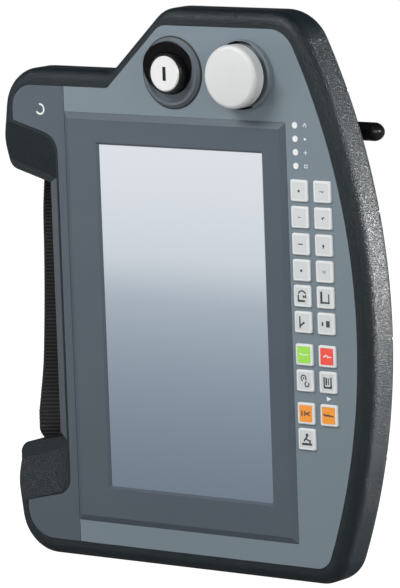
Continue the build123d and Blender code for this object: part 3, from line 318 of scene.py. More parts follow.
zinc = brushed("zinc_plated", (0.42, 0.42, 0.43), 0.32, (1, 1, 1))
dress(
    zinc, "housing_screws", "cover_screws", "strap_screws", "inner_screws", "enabling_pin",
    "estop_spring",
)
dress(brushed("plain_sheet", (0.6, 0.6, 0.61), 0.35, (1, 1, 0.03)), "display_bracket")
# Black carrier plate: painted shade in the groove round the foil, where the plate shows.
dark_plate_groove_shade = brushed("black_anodised_groove_shade", (0.03, 0.03, 0.033), 0.4, (1, 0.03, 1))
dress(dark_plate_groove_shade, "front_panel", "processor_heatsink")


# Front foil: satin polyester in a blue-grey field and a darker strip at the left, with the finest
# of textures that keeps it from shining.
def foil(name, colour):
    """A foil in one colour, with its tooth as a bump."""
    finish, tree, shader = new_finish(name, colour, 0.42, 0.015, 0.05, 25)
    shader.inputs["Specular IOR Level"].default_value = 0.3
    where = tree.nodes.new("ShaderNodeTexCoord")
    tooth = tree.nodes.new("ShaderNodeTexNoise")
    tooth.inputs["Scale"].default_value = 4200
    bump = tree.nodes.new("ShaderNodeBump")
    bump.inputs["Distance"].default_value = 0.012 * mm
    tree.links.new(where.outputs["Object"], tooth.inputs["Vector"])
    tree.links.new(tooth.outputs["Fac"], bump.inputs["Height"])
    tree.links.new(bump.outputs["Normal"], shader.inputs["Normal"])
    return finish


dress(foil("main_foil", (0.185, 0.232, 0.266)), "main_fascia")
slate_foil = foil("slate_foil", (0.078, 0.099, 0.124))
dress(slate_foil, "left_fascia", "display_bezel")


# Lip of the hand recess: the black moulding runs out flat beside the foil, coloured a pale slate as
# painted light where light falls on it, with a small bevel at its edge and a narrow dark groove
# between it and the foil. Sizes in millimetres.
# The lip is black moulding; its pale slate colour is painted light.
lip_painted_light = new_finish("lip_painted_light", (0.056, 0.07, 0.088), 0.4, 0.02, 0.1, 200)[0]
foil_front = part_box("left_fascia")[0].y
lip_by_foil, lip_edge = -98.5, -105.0
lip_sunk, lip_bevel, lip_wall, lip_foot, lip_depth = 0.1, 0.6, 1.2, 2.1, 5.2
lip_section = [
    (lip_edge + lip_bevel, lip_sunk), (lip_by_foil, lip_sunk), (lip_by_foil, lip_wall),
    (lip_edge + lip_foot, lip_depth), (lip_edge, lip_depth), (lip_edge, lip_sunk + lip_bevel),
]
lip_ends = [(76.0, 83.0), (250.0, 246.0)]
lip_points = []
for beside_foil, at_edge in lip_ends:
    for x, deep in lip_section:
        part_way = (x - lip_by_foil) / (lip_edge - lip_by_foil)
        z = beside_foil + (at_edge - beside_foil) * part_way
        lip_points.append((x * mm, foil_front + deep * mm, z * mm))
corners = len(lip_section)
lip_faces = [
    (i, (i + 1) % corners, corners + (i + 1) % corners, corners + i) for i in range(corners)
]
lip_faces += [tuple(range(corners))[::-1], tuple(range(corners, 2 * corners))]
lip_mesh = bpy.data.meshes.new("recess_lip")
lip_mesh.from_pydata(lip_points, [], lip_faces)
lip_mesh.materials.append(lip_painted_light)
lip = placed("recess_lip", lip_mesh)
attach(lip, "housing")


# Display: touch glass glowing pale at the top and blue-grey at its foot, a painted reflection.
low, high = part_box("touch_glass")
painted_reflection_screen = bpy.data.materials.new("display_painted_reflection")
painted_reflection_screen.use_nodes = True
tree = painted_reflection_screen.node_tree
shader = tree.nodes["Principled BSDF"]
shader.inputs["Base Color"].default_value = (0.02, 0.022, 0.025, 1)
shader.inputs["Roughness"].default_value = 0.14
shader.inputs["Specular IOR Level"].default_value = 0.12
shader.inputs["Emission Strength"].default_value = 1.0
where = tree.nodes.new("ShaderNodeTexCoord")
apart = tree.nodes.new("ShaderNodeSeparateXYZ")
rise = tree.nodes.new("ShaderNodeMapRange")
rise.inputs["From Min"].default_value = low.z
rise.inputs["From Max"].default_value = high.z
# The glow colours are a painted reflection, pale at the top and blue-grey at the foot.
painted_reflection_ramp = tree.nodes.new("ShaderNodeValToRGB")
painted_reflection_ramp.color_ramp.interpolation = "B_SPLINE"
painted_reflection_ramp.color_ramp.elements[0].color = (0.135, 0.17, 0.22, 1)
painted_reflection_ramp.color_ramp.elements[1].color = (0.72, 0.75, 0.8, 1)
for level, colour in ((0.3, (0.21, 0.26, 0.32)), (0.55, (0.34, 0.4, 0.46)), (0.68, (0.6, 0.64, 0.69))):
    painted_reflection_ramp.color_ramp.elements.new(level).color = (*colour, 1)
tree.links.new(where.outputs["Object"], apart.inputs[0])
tree.links.new(apart.outputs["Z"], rise.inputs["Value"])
tree.links.new(rise.outputs["Result"], painted_reflection_ramp.inputs["Fac"])
tree.links.new(painted_reflection_ramp.outputs["Color"], shader.inputs["Emission Color"])
dress(painted_reflection_screen, "touch_glass")


# Electronics behind the plate: boards with green solder mask, the display module and plain
# moulded switch blocks. None of it shows while the housing is closed.
board_green = new_finish("solder_mask", (0.015, 0.09, 0.04), 0.35, 0.02, 0.1, 300)[0]
dress(board_green, "main_board", "keypad_board")
dress(brushed("module_back", (0.5, 0.5, 0.51), 0.4, (1, 1, 0.05)), "lcd_module", "key_domes")
moulded, tree, shader = new_finish("moulded_black", (0.012, 0.012, 0.013), 0.38, 0.015, 0.1, 120)
add_grain(tree, shader, 0.02 * mm, 2600)
dress(
    moulded, "estop_plunger", "estop_contact_block", "keyswitch_contact_block",
    "panel_nuts", "enabling_switch", "strap_anchors", "strap_clamps", "cable_gland", "gland_nut",
)


# Keys: moulded caps with a bright rim round a dished face. An inlay lies in the dish, with a
# printed sign on it. Four of the nineteen inlays are coloured.
cap_white = new_finish("key_cap", (0.8, 0.81, 0.81), 0.35, 0.02, 0.06, 400)[0]
key_names = [f"key_{number:02d}" for number in range(1, 20)]
dress(cap_white, *key_names)

inlay_tree = bpy.data.node_groups.new("key_inlay", "GeometryNodeTree")
inlay_tree.interface.new_socket("Geometry", in_out="OUTPUT", socket_type="NodeSocketGeometry")
for label, value in (("Width", 9.8), ("Height", 10.5), ("Corner", 0.8), ("Thickness", 0.22)):
    socket = inlay_tree.interface.new_socket(label, in_out="INPUT", socket_type="NodeSocketFloat")
    socket.default_value = value * mm
inlay_tree.interface.new_socket("Place", in_out="INPUT", socket_type="NodeSocketVector")
inlay_tree.interface.new_socket("Finish", in_out="INPUT", socket_type="NodeSocketMaterial")
given = inlay_tree.nodes.new("NodeGroupInput")
sent = inlay_tree.nodes.new("NodeGroupOutput")
edge = inlay_tree.nodes.new("GeometryNodeCurvePrimitiveQuadrilateral")
round_off = inlay_tree.nodes.new("GeometryNodeFilletCurve")
round_off.mode = "POLY"
round_off.inputs["Count"].default_value = 5
fill = inlay_tree.nodes.new("GeometryNodeFillCurve")
fill.mode = "NGONS"
thicken = inlay_tree.nodes.new("GeometryNodeExtrudeMesh")
thicken.inputs["Individual"].default_value = False
back = inlay_tree.nodes.new("GeometryNodeFlipFaces")
joined = inlay_tree.nodes.new("GeometryNodeJoinGeometry")
welded = inlay_tree.nodes.new("GeometryNodeMergeByDistance")
welded.inputs["Distance"].default_value = 0.001 * mm
stand = inlay_tree.nodes.new("GeometryNodeTransform")
stand.inputs["Rotation"].default_value = (math.radians(90), 0, 0)
real = inlay_tree.nodes.new("GeometryNodeRealizeInstances")
painted = inlay_tree.nodes.new("GeometryNodeSetMaterial")
link = inlay_tree.links.new
link(given.outputs["Width"], edge.inputs["Width"])
link(given.outputs["Height"], edge.inputs["Height"])
link(edge.outputs["Curve"], round_off.inputs["Curve"])
link(given.outputs["Corner"], round_off.inputs["Radius"])
link(round_off.outputs["Curve"], fill.inputs["Curve"])
link(fill.outputs["Mesh"], thicken.inputs["Mesh"])
link(given.outputs["Thickness"], thicken.inputs["Offset Scale"])
link(fill.outputs["Mesh"], back.inputs["Mesh"])
link(thicken.outputs["Mesh"], joined.inputs["Geometry"])
link(back.outputs["Mesh"], joined.inputs["Geometry"])
link(joined.outputs["Geometry"], welded.inputs["Geometry"])
link(welded.outputs["Geometry"], stand.inputs["Geometry"])
link(given.outputs["Place"], stand.inputs["Translation"])
link(stand.outputs["Geometry"], real.inputs["Geometry"])
link(real.outputs["Geometry"], painted.inputs["Geometry"])
link(given.outputs["Finish"], painted.inputs["Material"])
link(painted.outputs["Geometry"], sent.inputs["Geometry"])


def grown(name, node_tree, settings):
    """The plain mesh that a Geometry Nodes tree makes from its named inputs."""
    holder = placed(name + "_nodes", bpy.data.meshes.new(name + "_nodes"))
    modifier = holder.modifiers.new("build", "NODES")
    modifier.node_group = node_tree
    for item in node_tree.interface.items_tree:
        if item.in_out == "INPUT" and item.name in settings:
            modifier[item.identifier] = settings[item.name]
    bpy.context.view_layer.update()
    evaluated = holder.evaluated_get(bpy.context.evaluated_depsgraph_get())
    mesh = bpy.data.meshes.new_from_object(evaluated)
    mesh.name = name
    bpy.data.objects.remove(holder)
    return placed(name, mesh)


def inlay_finish(name, colour):
    """A satin inlay in one colour."""
    return new_finish(name, colour, 0.45, 0.02, 0.08, 500)[0]


inlay_grey = inlay_finish("inlay_grey", (0.66, 0.69, 0.69))
inlay_green = inlay_finish("inlay_green", (0.36, 0.8, 0.08))
inlay_red = inlay_finish("inlay_red", (0.95, 0.085, 0.06))
inlay_orange = inlay_finish("inlay_orange", (0.98, 0.34, 0.03))
inlay_finishes = {13: inlay_green, 14: inlay_red, 17: inlay_orange, 18: inlay_orange}
inlay_sink = 0.08 * mm
inlay_thickness = 0.22 * mm
for number, name in enumerate(key_names, 1):
    low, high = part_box(name)
    place = ((low.x + high.x) / 2, low.y + inlay_sink + inlay_thickness, (low.z + high.z) / 2)
    inlay = grown(
        name + "_inlay",
        inlay_tree,
        {"Place": place, "Thickness": inlay_thickness, "Finish": inlay_finishes.get(number, inlay_grey)},
    )
    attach(inlay, name)

# Printed signs: flat shapes a twentieth of a millimetre thick, drawn from a few strokes each.
dark_print = new_finish("dark_print", (0.045, 0.045, 0.05), 0.5, 0.02, 0.05, 500)[0]
white_print = new_finish("white_print", (0.85, 0.87, 0.88), 0.45, 0.02, 0.05, 500)[0]
print_thickness = 0.05 * mm


def circle(x, z, radius, steps=20):
    """A round dot."""
    return [
        (x + radius * math.cos(2 * math.pi * i / steps), z + radius * math.sin(2 * math.pi * i / steps))
        for i in range(steps)
    ]


def bar(x0, z0, x1, z1, width):
    """A straight stroke from one point to another."""
    run = Vector((x1 - x0, z1 - z0)).normalized() * width / 2
    across = Vector((-run.y, run.x))
    start, end = Vector((x0, z0)) - run, Vector((x1, z1)) + run
    return [tuple(start + across), tuple(start - across), tuple(end - across), tuple(end + across)]


def arc(x, z, radius, start, end, width, steps=18):
    """A curved stroke about a point, from one angle to another in degrees."""
    far, near = radius + width / 2, radius - width / 2
    outer, inner = [], []
    for i in range(steps + 1):
        turn = math.radians(start + (end - start) * i / steps)
        outer.append((x + far * math.cos(turn), z + far * math.sin(turn)))
        inner.append((x + near * math.cos(turn), z + near * math.sin(turn)))
    return outer + inner[::-1]


def printed(name, shapes, middle_x, front, middle_z, finish):
    """Flat prints from outlines in millimetres about a middle point, facing the operator."""
    mesh = bpy.data.meshes.new(name)
    made = bmesh.new()
    for shape in shapes:
        outline = [
            made.verts.new((middle_x + x * mm, front, middle_z + z * mm)) for x, z in shape
        ]
        face = made.faces.new(outline)
        face.normal_update()
        if face.normal.y > 0:
            face.normal_flip()
        grown_part = bmesh.ops.extrude_face_region(made, geom=[face], use_keep_orig=True)
        moved = [v for v in grown_part["geom"] if isinstance(v, bmesh.types.BMVert)]
        bmesh.ops.translate(made, verts=moved, vec=(0, -print_thickness, 0))
    bmesh.ops.recalc_face_normals(made, faces=made.faces)
    made.to_mesh(mesh)
    made.free()
    mesh.materials.append(finish)
    return placed(name, mesh)


arrow_up = [(-1.1, -0.6), (1.1, -0.6), (0, 1.0)]
arrow_down = [(-1.1, 0.6), (0, -1.0), (1.1, 0.6)]
signs = {
    1: [circle(0, -0.2, 0.85, 12)],
    2: [bar(-1.3, 0.2, 0.2, 0.2, 0.6), bar(0.7, -0.3, 1.3, 0.5, 0.6)],
    3: [bar(-0.9, 0, 0.9, 0, 0.5)],
    4: [arrow_down, bar(0.5, 0.7, 1.4, 0.7, 0.6)],
    5: [bar(-1.4, 0, 1.4, 0, 0.7)],
    6: [arrow_up, bar(0, -0.6, 0, -1.4, 0.8)],
    7: [circle(0, -0.2, 0.9, 12)],
    8: [bar(-0.7, -0.7, -0.7, 0.7, 0.5), bar(0.7, -0.7, 0.7, 0.7, 0.5)],
    9: [arc(0, 0.4, 2.3, 20, 160, 0.8), bar(-2.3, 0.2, -2.3, -2.2, 0.8), bar(-2.2, -2.4, 1.2, -2.4, 1.1),
        bar(2.2, 0.3, 2.2, -0.6, 0.8), circle(1.0, -0.2, 0.7, 12)],
    10: [bar(-2.2, 2.4, -2.2, -2.4, 1.3), bar(-1.4, -2.5, 2.4, -2.5, 0.9), bar(2.3, 1.6, 2.3, -2.0, 0.7)],
    11: [bar(-1.8, 2.6, -1.8, -2.6, 0.8), bar(-1.7, -1.9, 0.3, -0.4, 0.8), circle(0.5, -0.3, 0.6, 12)],
    12: [bar(-2.0, -0.6, -2.0, 0.4, 1.0), bar(1.3, -0.5, 1.3, 0.5, 2.2)],
    13: [bar(-3.0, 0.6, -0.4, -0.1, 0.6), bar(0.4, 0, 2.8, 0.1, 0.6)],
    14: [bar(-2.2, -0.2, -0.8, 0.7, 0.8), bar(0, 0.5, 0.6, -0.5, 0.8), bar(1.4, -0.2, 3.0, -0.3, 0.7)],
    15: [arc(-0.7, 1.3, 1.5, -40, 250, 0.7), circle(-0.7, 1.3, 0.5, 10),
         arc(1.3, -1.7, 1.2, 100, 400, 0.7)],
    16: [bar(-2.1, 2.4, -2.1, -2.4, 0.9), bar(2.1, 2.4, 2.1, -2.4, 0.9), bar(-1.8, -2.5, 1.8, -2.5, 1.0),
         bar(-0.8, 2.0, -0.8, -0.8, 1.0), bar(0.6, 2.0, 0.6, -0.8, 0.6)],
    17: [bar(-2.4, 0.9, -2.4, -0.9, 0.8), bar(-0.6, 0.9, -0.6, -0.8, 0.8), bar(0.3, 0.1, 2.2, 0.8, 0.6),
         bar(0.3, 0, 2.2, -0.8, 0.6)],
    18: [bar(-2.8, 0.3, -1.2, -0.2, 0.9), bar(-0.5, 0.2, 0.6, -0.2, 0.9), bar(1.4, 0, 2.6, -0.3, 0.7)],
    19: [circle(0.3, 2.2, 0.9, 12), bar(0.1, 1.2, -1.4, -0.6, 0.9), bar(-0.2, 0.2, 1.7, -0.7, 0.8),
         bar(-2.3, -2.4, 2.6, -2.4, 1.2), bar(2.0, -1.4, 2.2, -0.6, 0.8)],
}
for number, shapes in signs.items():
    name = key_names[number - 1]
    low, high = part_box(name)
    finish = white_print if number in (13, 14) else dark_print
    grow = 1.25 if number > 8 and finish is dark_print else 1.0
    shapes = [[(x * grow, z * grow) for x, z in shape] for shape in shapes]
    sign = printed(
        name + "_sign", shapes, (low.x + high.x) / 2, low.y + inlay_sink, (low.z + high.z) / 2, finish
    )
    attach(sign, name)

# Signs printed on the foil: a small triangle over the right orange key, plain marks beside the
# lamps, and an open ring at the upper left.
foil_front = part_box("main_fascia")[0].y
right_orange_low, right_orange_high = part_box("key_18")
low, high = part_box("status_lenses")
lens_width = 4 * mm
lens_middle = (low.z + high.z) / 2
lens_pitch = (high.z - low.z - lens_width) / 3
mark_away = 5.5 * mm
marks = [
    [arc(0, 0, 1.1, -60, 240, 0.45), bar(0, 0.3, 0, 1.5, 0.45)],
    [[(-0.9, -1.1), (1.2, 0), (-0.9, 1.1)]],
    [bar(-1.1, 0, 1.1, 0, 0.5), bar(0, -1.1, 0, 1.1, 0.5)],
    [bar(-1.0, -0.9, -1.0, 0.9, 0.45), bar(1.0, -0.9, 1.0, 0.9, 0.45), bar(-0.8, 0.9, 0.8, 0.9, 0.45),
     bar(-0.8, -0.9, 0.8, -0.9, 0.45)],
]
for row, shapes in enumerate(marks):
    mark = printed(
        f"lamp_mark_{row + 1}", shapes, high.x + mark_away, foil_front,
        lens_middle + (1.5 - row) * lens_pitch, white_print,
    )
    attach(mark, "housing")
triangle = printed(
    "key_pointer", [[(-1.7, 1.5), (-1.3, -1.6), (1.9, 0.1)]],
    (right_orange_low.x + right_orange_high.x) / 2 - 0.5 * mm, foil_front,
    right_orange_high.z + 3.0 * mm, white_print,
)
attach(triangle, "housing")
ring_x, ring_z = -111.0 * mm, 293.7 * mm
ring = printed(
    "open_ring", [arc(0, 0, 3.2, -150, 100, 1.1)], ring_x, foil_front, ring_z, white_print
)
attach(ring, "housing")

lamp_lens = new_finish("lamp_lens", (0.85, 0.87, 0.88), 0.25, 0.02, 0.05, 300)[0]
dress(lamp_lens, "status_lenses")


# Emergency stop: a pale grey mushroom with a satin face. A guard ring in the colour of the foil
# stands round it, thinned to a narrow wall by a slot at the top and at the bottom. The ring's bore
# and the floors of the two slots are black: painted shade between the ring and the head.
mushroom, tree, shader = new_finish("mushroom_grey", (0.66, 0.665, 0.66), 0.36, 0.06, 0.1, 260)
add_grain(tree, shader, 0.02 * mm, 2600)
dress(mushroom, "estop_head")
ring_grey = new_finish("ring_grey", (0.15, 0.182, 0.205), 0.42, 0.02, 0.1, 200)[0]
painted_shade_black = new_finish("painted_shade_black", (0.002, 0.002, 0.002), 0.8, 0.001, 0.1, 200)[0]
dress(ring_grey, "estop_collar")


def banded(name, bands, finishes, finish_of_band):
    """A closed body of rings of points, each joined to the next and the last to the first."""
    mesh = bpy.data.meshes.new(name)
    count = len(bands[0])
    faces, slots = [], []
    for band in range(len(bands)):
        low_ring, high_ring = band * count, (band + 1) % len(bands) * count
        for i in range(count):
            j = (i + 1) % count
            faces.append((low_ring + i, low_ring + j, high_ring + j, high_ring + i))
            slots.append(finish_of_band[band])
    mesh.from_pydata([point for band in bands for point in band], [], faces)
    for finish in finishes:
        mesh.materials.append(finish)
    mesh.polygons.foreach_set("material_index", slots)
    made = bmesh.new()
    made.from_mesh(mesh)
    bmesh.ops.recalc_face_normals(made, faces=made.faces)
    made.to_mesh(mesh)
    made.free()
    mesh.polygons.foreach_set("use_smooth", [True] * len(mesh.polygons))
    mesh.set_sharp_from_angle(angle=math.radians(32))
    return placed(name, mesh)


def ring_points(middle_x, middle_z, radius_at, out_at, steps=180):
    """Points round a middle, with radius and height over the foil given by angle in degrees."""
    points = []
    for i in range(steps):
        angle = 360 * i / steps
        turn = math.radians(angle)
        points.append((
            middle_x + radius_at(angle) * mm * math.cos(turn),
            foil_front - out_at(angle) * mm,
            middle_z + radius_at(angle) * mm * math.sin(turn),
        ))
    return points


low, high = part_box("estop_head")
guard_x, guard_z = (low.x + high.x) / 2, (low.z + high.z) / 2
guard_inner, guard_outer, guard_wall, guard_out, guard_bevel = 20.6, 22.3, 0.7, 4.0, 0.3
slot_half, slot_radius, slot_width, slot_shade_out = 24.0, 21.0, 1.5, 0.25
let_in = 0.1


def guard_bore(angle):
    """The bore widens over the two slots."""
    in_slot = min(abs(angle - 90), abs(angle - 270)) <= slot_half
    return guard_outer - guard_wall if in_slot else guard_inner


# The bore of the guard is black all round: painted shade from the head.
guard = banded(
    "estop_guard",
    [
        ring_points(guard_x, guard_z, guard_bore, lambda angle: -let_in),
        ring_points(guard_x, guard_z, guard_bore, lambda angle: guard_out),
        ring_points(guard_x, guard_z, lambda angle: guard_outer - guard_bevel, lambda angle: guard_out),
        ring_points(guard_x, guard_z, lambda angle: guard_outer, lambda angle: guard_out - guard_bevel),
        ring_points(guard_x, guard_z, lambda angle: guard_outer, lambda angle: -let_in),
    ],
    [ring_grey, painted_shade_black],
    [1, 0, 0, 0, 0],
)
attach(guard, "housing")
# Black sheets on the floors of the two slots: painted shade.
for name, aim in (("estop_slot_top_shade", 90), ("estop_slot_foot_shade", 270)):
    slot_shade_sheet = printed(
        name, [arc(0, 0, slot_radius, aim - slot_half, aim + slot_half, slot_width, 24)],
        guard_x, foil_front - slot_shade_out * mm, guard_z, painted_shade_black,
    )
    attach(slot_shade_sheet, "housing")


# Key switch: a slate collar ringed by thin black rubber, a glossy black barrel with a hood that is tall
# at the upper left and low at the lower right, and a bright plug with the slot for the key. The black
# ring and the black sheet in the key slot are painted shade: the dark line at the collar's edge and the
# depth of the slot.
collar_slate = new_finish("collar_slate", (0.1, 0.122, 0.145), 0.35, 0.02, 0.1, 200)[0]
dress(collar_slate, "keyswitch_collar")
barrel_black = new_finish("barrel_black", (0.006, 0.006, 0.007), 0.22, 0.004, 0.1, 200)[0]
dress(barrel_black, "keyswitch_barrel", "stylus")
plug_nickel, tree, shader = new_finish("plug_nickel", (0.92, 0.92, 0.91), 0.3, 0.05, 0.1, 200)
shader.inputs["Metallic"].default_value = 0.35
dress(plug_nickel, "keyswitch_rotor")

low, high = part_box("keyswitch_rotor")
plug_x, plug_z = (low.x + high.x) / 2, (low.z + high.z) / 2
# The key slot is a flat black sheet on the plug: painted shade for the slot's depth.
keyway_painted_shade = printed("keyway_painted_shade", [bar(0, -3.2, 0, 3.2, 2.5)], plug_x, low.y, plug_z, painted_shade_black)
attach(keyway_painted_shade, "keyswitch_rotor")
low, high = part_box("keyswitch_collar")
collar_radius = (high.x - low.x) / 2 / mm
round_steps = 96
# A thin black ring round the collar: painted shade for the dark line at the collar's edge.
collar_shade_profile = [(-0.4, -let_in), (-0.4, 0.9), (0.1, 0.9), (0.8, 0.3), (0.8, -let_in)]
collar_shade_ring = banded(
    "keyswitch_collar_shade_ring",
    [
        ring_points(plug_x, plug_z, lambda angle: collar_radius + wider, lambda angle: out, round_steps)
        for wider, out in collar_shade_profile
    ],
    [seal_rubber],
    [0] * len(collar_shade_profile),
)
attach(collar_shade_ring, "housing")

hood_x, hood_z, hood_radius, hood_bore = -1.0, 3.1, 17.3, 13.3
hood_low, hood_high, hood_aim = 1.4, 8.4, 150.0
hood_seat, hood_taper, hood_rim, hood_rounding = 0.5, 0.5, 0.9, 0.4
bore_flare, bore_share = 0.2, 0.8
hood_black, tree, shader = new_finish("hood_black", (0.003, 0.003, 0.0035), 0.3, 0.002, 0.1, 200)
shader.inputs["Specular IOR Level"].default_value = 0.2


def hood_out(angle):
    """Height of the hood's rim over the foil."""
    share = (0.5 + 0.5 * math.cos(math.radians(angle - hood_aim))) ** 1.3
    return hood_low + (hood_high - hood_low) * share


def hood_shoulder(angle):
    """Height at which the hood's outer wall turns into its rounded rim."""
    return hood_out(angle) - hood_rounding


def hood_inside(angle):
    """Height at which the rim runs down into the bore."""
    return bore_share * hood_out(angle)


hood_middle = (plug_x + hood_x * mm, plug_z + hood_z * mm)
hood = banded(
    "keyswitch_hood",
    [
        ring_points(*hood_middle, lambda angle: hood_radius, lambda angle: hood_seat, round_steps),
        ring_points(*hood_middle, lambda angle: hood_radius - hood_taper, hood_shoulder, round_steps),
        ring_points(*hood_middle, lambda angle: hood_radius - hood_rim, hood_out, round_steps),
        ring_points(plug_x, plug_z, lambda angle: hood_bore + bore_flare, hood_inside, round_steps),
        ring_points(plug_x, plug_z, lambda angle: hood_bore, lambda angle: hood_seat, round_steps),
    ],
    [hood_black],
    [0, 0, 0, 0, 0],
)
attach(hood, "housing")


# Enabling lever: a bowed bar in a rubber skin, with round ribs across it for the fingers.
lever_rubber, tree, shader = new_finish("lever_rubber", (0.02, 0.02, 0.021), 0.6, 0.02, 0.1, 80)
add_grain(tree, shader, 0.04 * mm, 1500)
dress(lever_rubber, "enabling_lever")

grip_tree = bpy.data.node_groups.new("grip_ribs", "GeometryNodeTree")
grip_tree.interface.new_socket("Geometry", in_out="OUTPUT", socket_type="NodeSocketGeometry")
for label in ("Start", "Middle", "End", "Step"):
    grip_tree.interface.new_socket(label, in_out="INPUT", socket_type="NodeSocketVector")
grip_tree.interface.new_socket("Thickness", in_out="INPUT", socket_type="NodeSocketFloat")
grip_tree.interface.new_socket("Count", in_out="INPUT", socket_type="NodeSocketInt")
grip_tree.interface.new_socket("Finish", in_out="INPUT", socket_type="NodeSocketMaterial")
given = grip_tree.nodes.new("NodeGroupInput")
sent = grip_tree.nodes.new("NodeGroupOutput")
bow = grip_tree.nodes.new("GeometryNodeCurveArc")
bow.mode = "POINTS"
bow.inputs["Resolution"].default_value = 20
wire = grip_tree.nodes.new("GeometryNodeCurvePrimitiveCircle")
wire.inputs["Resolution"].default_value = 10
rib = grip_tree.nodes.new("GeometryNodeCurveToMesh")
rib.inputs["Fill Caps"].default_value = True
row = grip_tree.nodes.new("GeometryNodeMeshLine")
repeat = grip_tree.nodes.new("GeometryNodeInstanceOnPoints")
real = grip_tree.nodes.new("GeometryNodeRealizeInstances")
painted = grip_tree.nodes.new("GeometryNodeSetMaterial")
link = grip_tree.links.new
link(given.outputs["Start"], bow.inputs["Start"])
link(given.outputs["Middle"], bow.inputs["Middle"])
link(given.outputs["End"], bow.inputs["End"])
link(given.outputs["Thickness"], wire.inputs["Radius"])
link(bow.outputs["Curve"], rib.inputs["Curve"])
link(wire.outputs["Curve"], rib.inputs["Profile Curve"])
link(given.outputs["Count"], row.inputs["Count"])
link(given.outputs["Step"], row.inputs["Offset"])
link(row.outputs["Mesh"], repeat.inputs["Points"])
link(rib.outputs["Mesh"], repeat.inputs["Instance"])
link(repeat.outputs["Instances"], real.inputs["Geometry"])
link(real.outputs["Geometry"], painted.inputs["Geometry"])
link(given.outputs["Finish"], painted.inputs["Material"])
link(painted.outputs["Geometry"], sent.inputs["Geometry"])

low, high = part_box("enabling_lever")
rib_count = 13
rib_pitch = 6.5 * mm
rib_sink = 0.35 * mm
rib_inset = 1.6 * mm
rib_radius = 0.9 * mm
lever_bow = 4.7 * mm
crown_aside = 4 * mm
first_rib = (low.z + high.z - (rib_count - 1) * rib_pitch) / 2
ribs = grown(
    "lever_ribs",
    grip_tree,
    {
        "Start": (low.x + rib_inset, high.y - lever_bow + rib_inset / 2, first_rib),
        "Middle": ((low.x + high.x) / 2 - crown_aside, high.y - rib_sink, first_rib),
        "End": (high.x - rib_inset, high.y - lever_bow + rib_inset / 2, first_rib),
        "Step": (0, 0, rib_pitch),
        "Thickness": rib_radius,
        "Count": rib_count,
        "Finish": lever_rubber,
    },
)
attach(ribs, "enabling_lever")


# Hand strap: black webbing, a single band with raised cross ribs, pulled tight from lobe to lobe
# and clamped at both ends. Between the clamps it leans outwards at its foot and bows off the hand.
webbing = bpy.data.materials.new("strap_webbing")
webbing.use_nodes = True
tree = webbing.node_tree
shader = tree.nodes["Principled BSDF"]
shader.inputs["Roughness"].default_value = 0.8
where = tree.nodes.new("ShaderNodeTexCoord")
crests = tree.nodes.new("ShaderNodeTexWave")
crests.bands_direction = "X"
# one pale crest to each rib of the band
crests.inputs["Scale"].default_value = 13.09
rib_crest_share = tree.nodes.new("ShaderNodeMapRange")
rib_crest_share.interpolation_type = "SMOOTHSTEP"
rib_crest_share.inputs["From Min"].default_value = 0.55
yarn = tree.nodes.new("ShaderNodeMix")
yarn.data_type = "RGBA"
yarn.inputs["A"].default_value = (0.002, 0.002, 0.002, 1)
yarn.inputs["B"].default_value = (0.034, 0.031, 0.028, 1)
tree.links.new(where.outputs["UV"], crests.inputs["Vector"])
tree.links.new(crests.outputs["Fac"], rib_crest_share.inputs["Value"])
tree.links.new(rib_crest_share.outputs["Result"], yarn.inputs["Factor"])
tree.links.new(yarn.outputs["Result"], shader.inputs["Base Color"])
weave = tree.nodes.new("ShaderNodeTexWave")
weave.bands_direction = "Y"
weave.inputs["Scale"].default_value = 31
bump = tree.nodes.new("ShaderNodeBump")
bump.inputs["Distance"].default_value = 0.12 * mm
tree.links.new(where.outputs["UV"], weave.inputs["Vector"])
tree.links.new(weave.outputs["Fac"], bump.inputs["Height"])
tree.links.new(bump.outputs["Normal"], shader.inputs["Normal"])


def eased(share):
    """A share from 0 to 1 with soft ends, held at them outside that range."""
    share = min(1, max(0, share))
    return share * share * (3 - 2 * share)


strap_lean = math.radians(2.4)
strap_middle = Vector((-128.37, 21.6, 161.3)) * mm
between_clamps = Vector((-119.7, 22.91, 161.3)) * mm
across = Vector((1, 1, 0)).normalized()
outward = Vector((-1, 1, 0)).normalized()
upward = Vector((0, 0, 1))
width_way = across * math.cos(strap_lean) - upward * math.sin(strap_lean)
length_way = upward * math.cos(strap_lean) + across * math.sin(strap_lean)
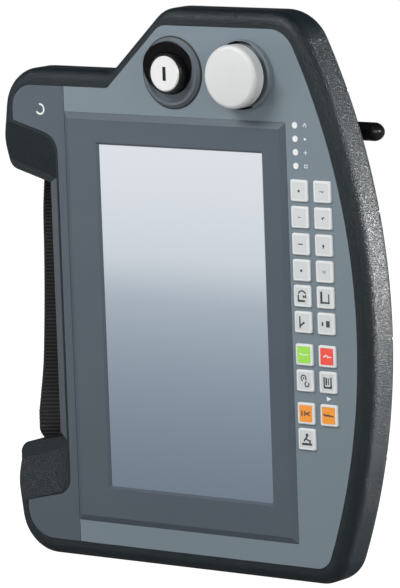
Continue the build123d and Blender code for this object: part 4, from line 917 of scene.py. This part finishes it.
# Sizes in millimetres; what starts at a length does so that far from the middle of the strap
half_length, half_width, half_thickness = 116.0, 17.6, 1.15
edge_taper, edge_rounding = 1.1, 0.3
rib_height, rib_side, rib_every, rows_per_rib = 0.3, 0.6, 2.4, 5
uv_span = 100
clamp_reach, bow_run, bow_height = 90, 48, 4.0
foot_start, foot_run, foot_flare = 37, 37, 2.8
belly_out, belly, belly_reach = 1.0, 1.5, 74
draw_in_start, draw_in_run = 84, 22
lay_down_start, lay_down_run = 58, 27
rows = 2 * round(half_length / rib_every * rows_per_rib)
section = [
    (-half_width + edge_taper, -half_thickness), (0, -half_thickness),
    (half_width - edge_taper, -half_thickness), (half_width - edge_rounding, -0.7 * half_thickness),
    (half_width, 0), (half_width - edge_rounding, 0.7 * half_thickness),
]
section += [(-w, -t) for w, t in section]
points, faces, along = [], [], []
for row in range(rows + 1):
    length = -half_length + 2 * half_length * row / rows
    slack = min(1, max(0, (clamp_reach - abs(length)) / bow_run))
    bow = bow_height * eased(slack)
    rise = rib_height * (0.5 - 0.5 * math.cos(2 * math.pi * length / rib_every))
    foot = min(1, max(0, (-length - foot_start) / foot_run))
    aside = (belly_out - belly * (length / belly_reach) ** 2) * slack - foot_flare * foot * foot
    free_line = strap_middle + (width_way * aside + length_way * length) * mm
    held_line = between_clamps + upward * length * mm
    off = held_line - free_line
    drawn_in = eased((abs(length) - draw_in_start) / draw_in_run)
    laid_down = eased((abs(length) - lay_down_start) / lay_down_run)
    middle = free_line + across * off.dot(across) * drawn_in + outward * off.dot(outward) * laid_down
    for w, t in section:
        spread = 1 + rise / math.hypot(w / half_width, t / half_thickness) * (rib_side / half_width)
        thick = t * (1 + rise / half_thickness)
        points.append(middle + (width_way * w * spread + outward * (bow + thick)) * mm)
        along.append((length / uv_span, w / uv_span))
corners = len(section)
for row in range(rows):
    for i in range(corners):
        a, b = row * corners + i, row * corners + (i + 1) % corners
        faces.append((a, b, b + corners, a + corners))
faces += [tuple(range(corners))[::-1], tuple(rows * corners + i for i in range(corners))]
band = bpy.data.meshes.new("strap_band")
band.from_pydata(points, [], faces)
band.polygons.foreach_set("use_smooth", [True] * len(faces))
weave_map = band.uv_layers.new(name="UVMap")
for corner in band.loops:
    weave_map.data[corner.index].uv = along[corner.vertex_index]
band.materials.append(webbing)
strap = placed("strap_band", band)
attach(strap, "housing")
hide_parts("hand_strap")
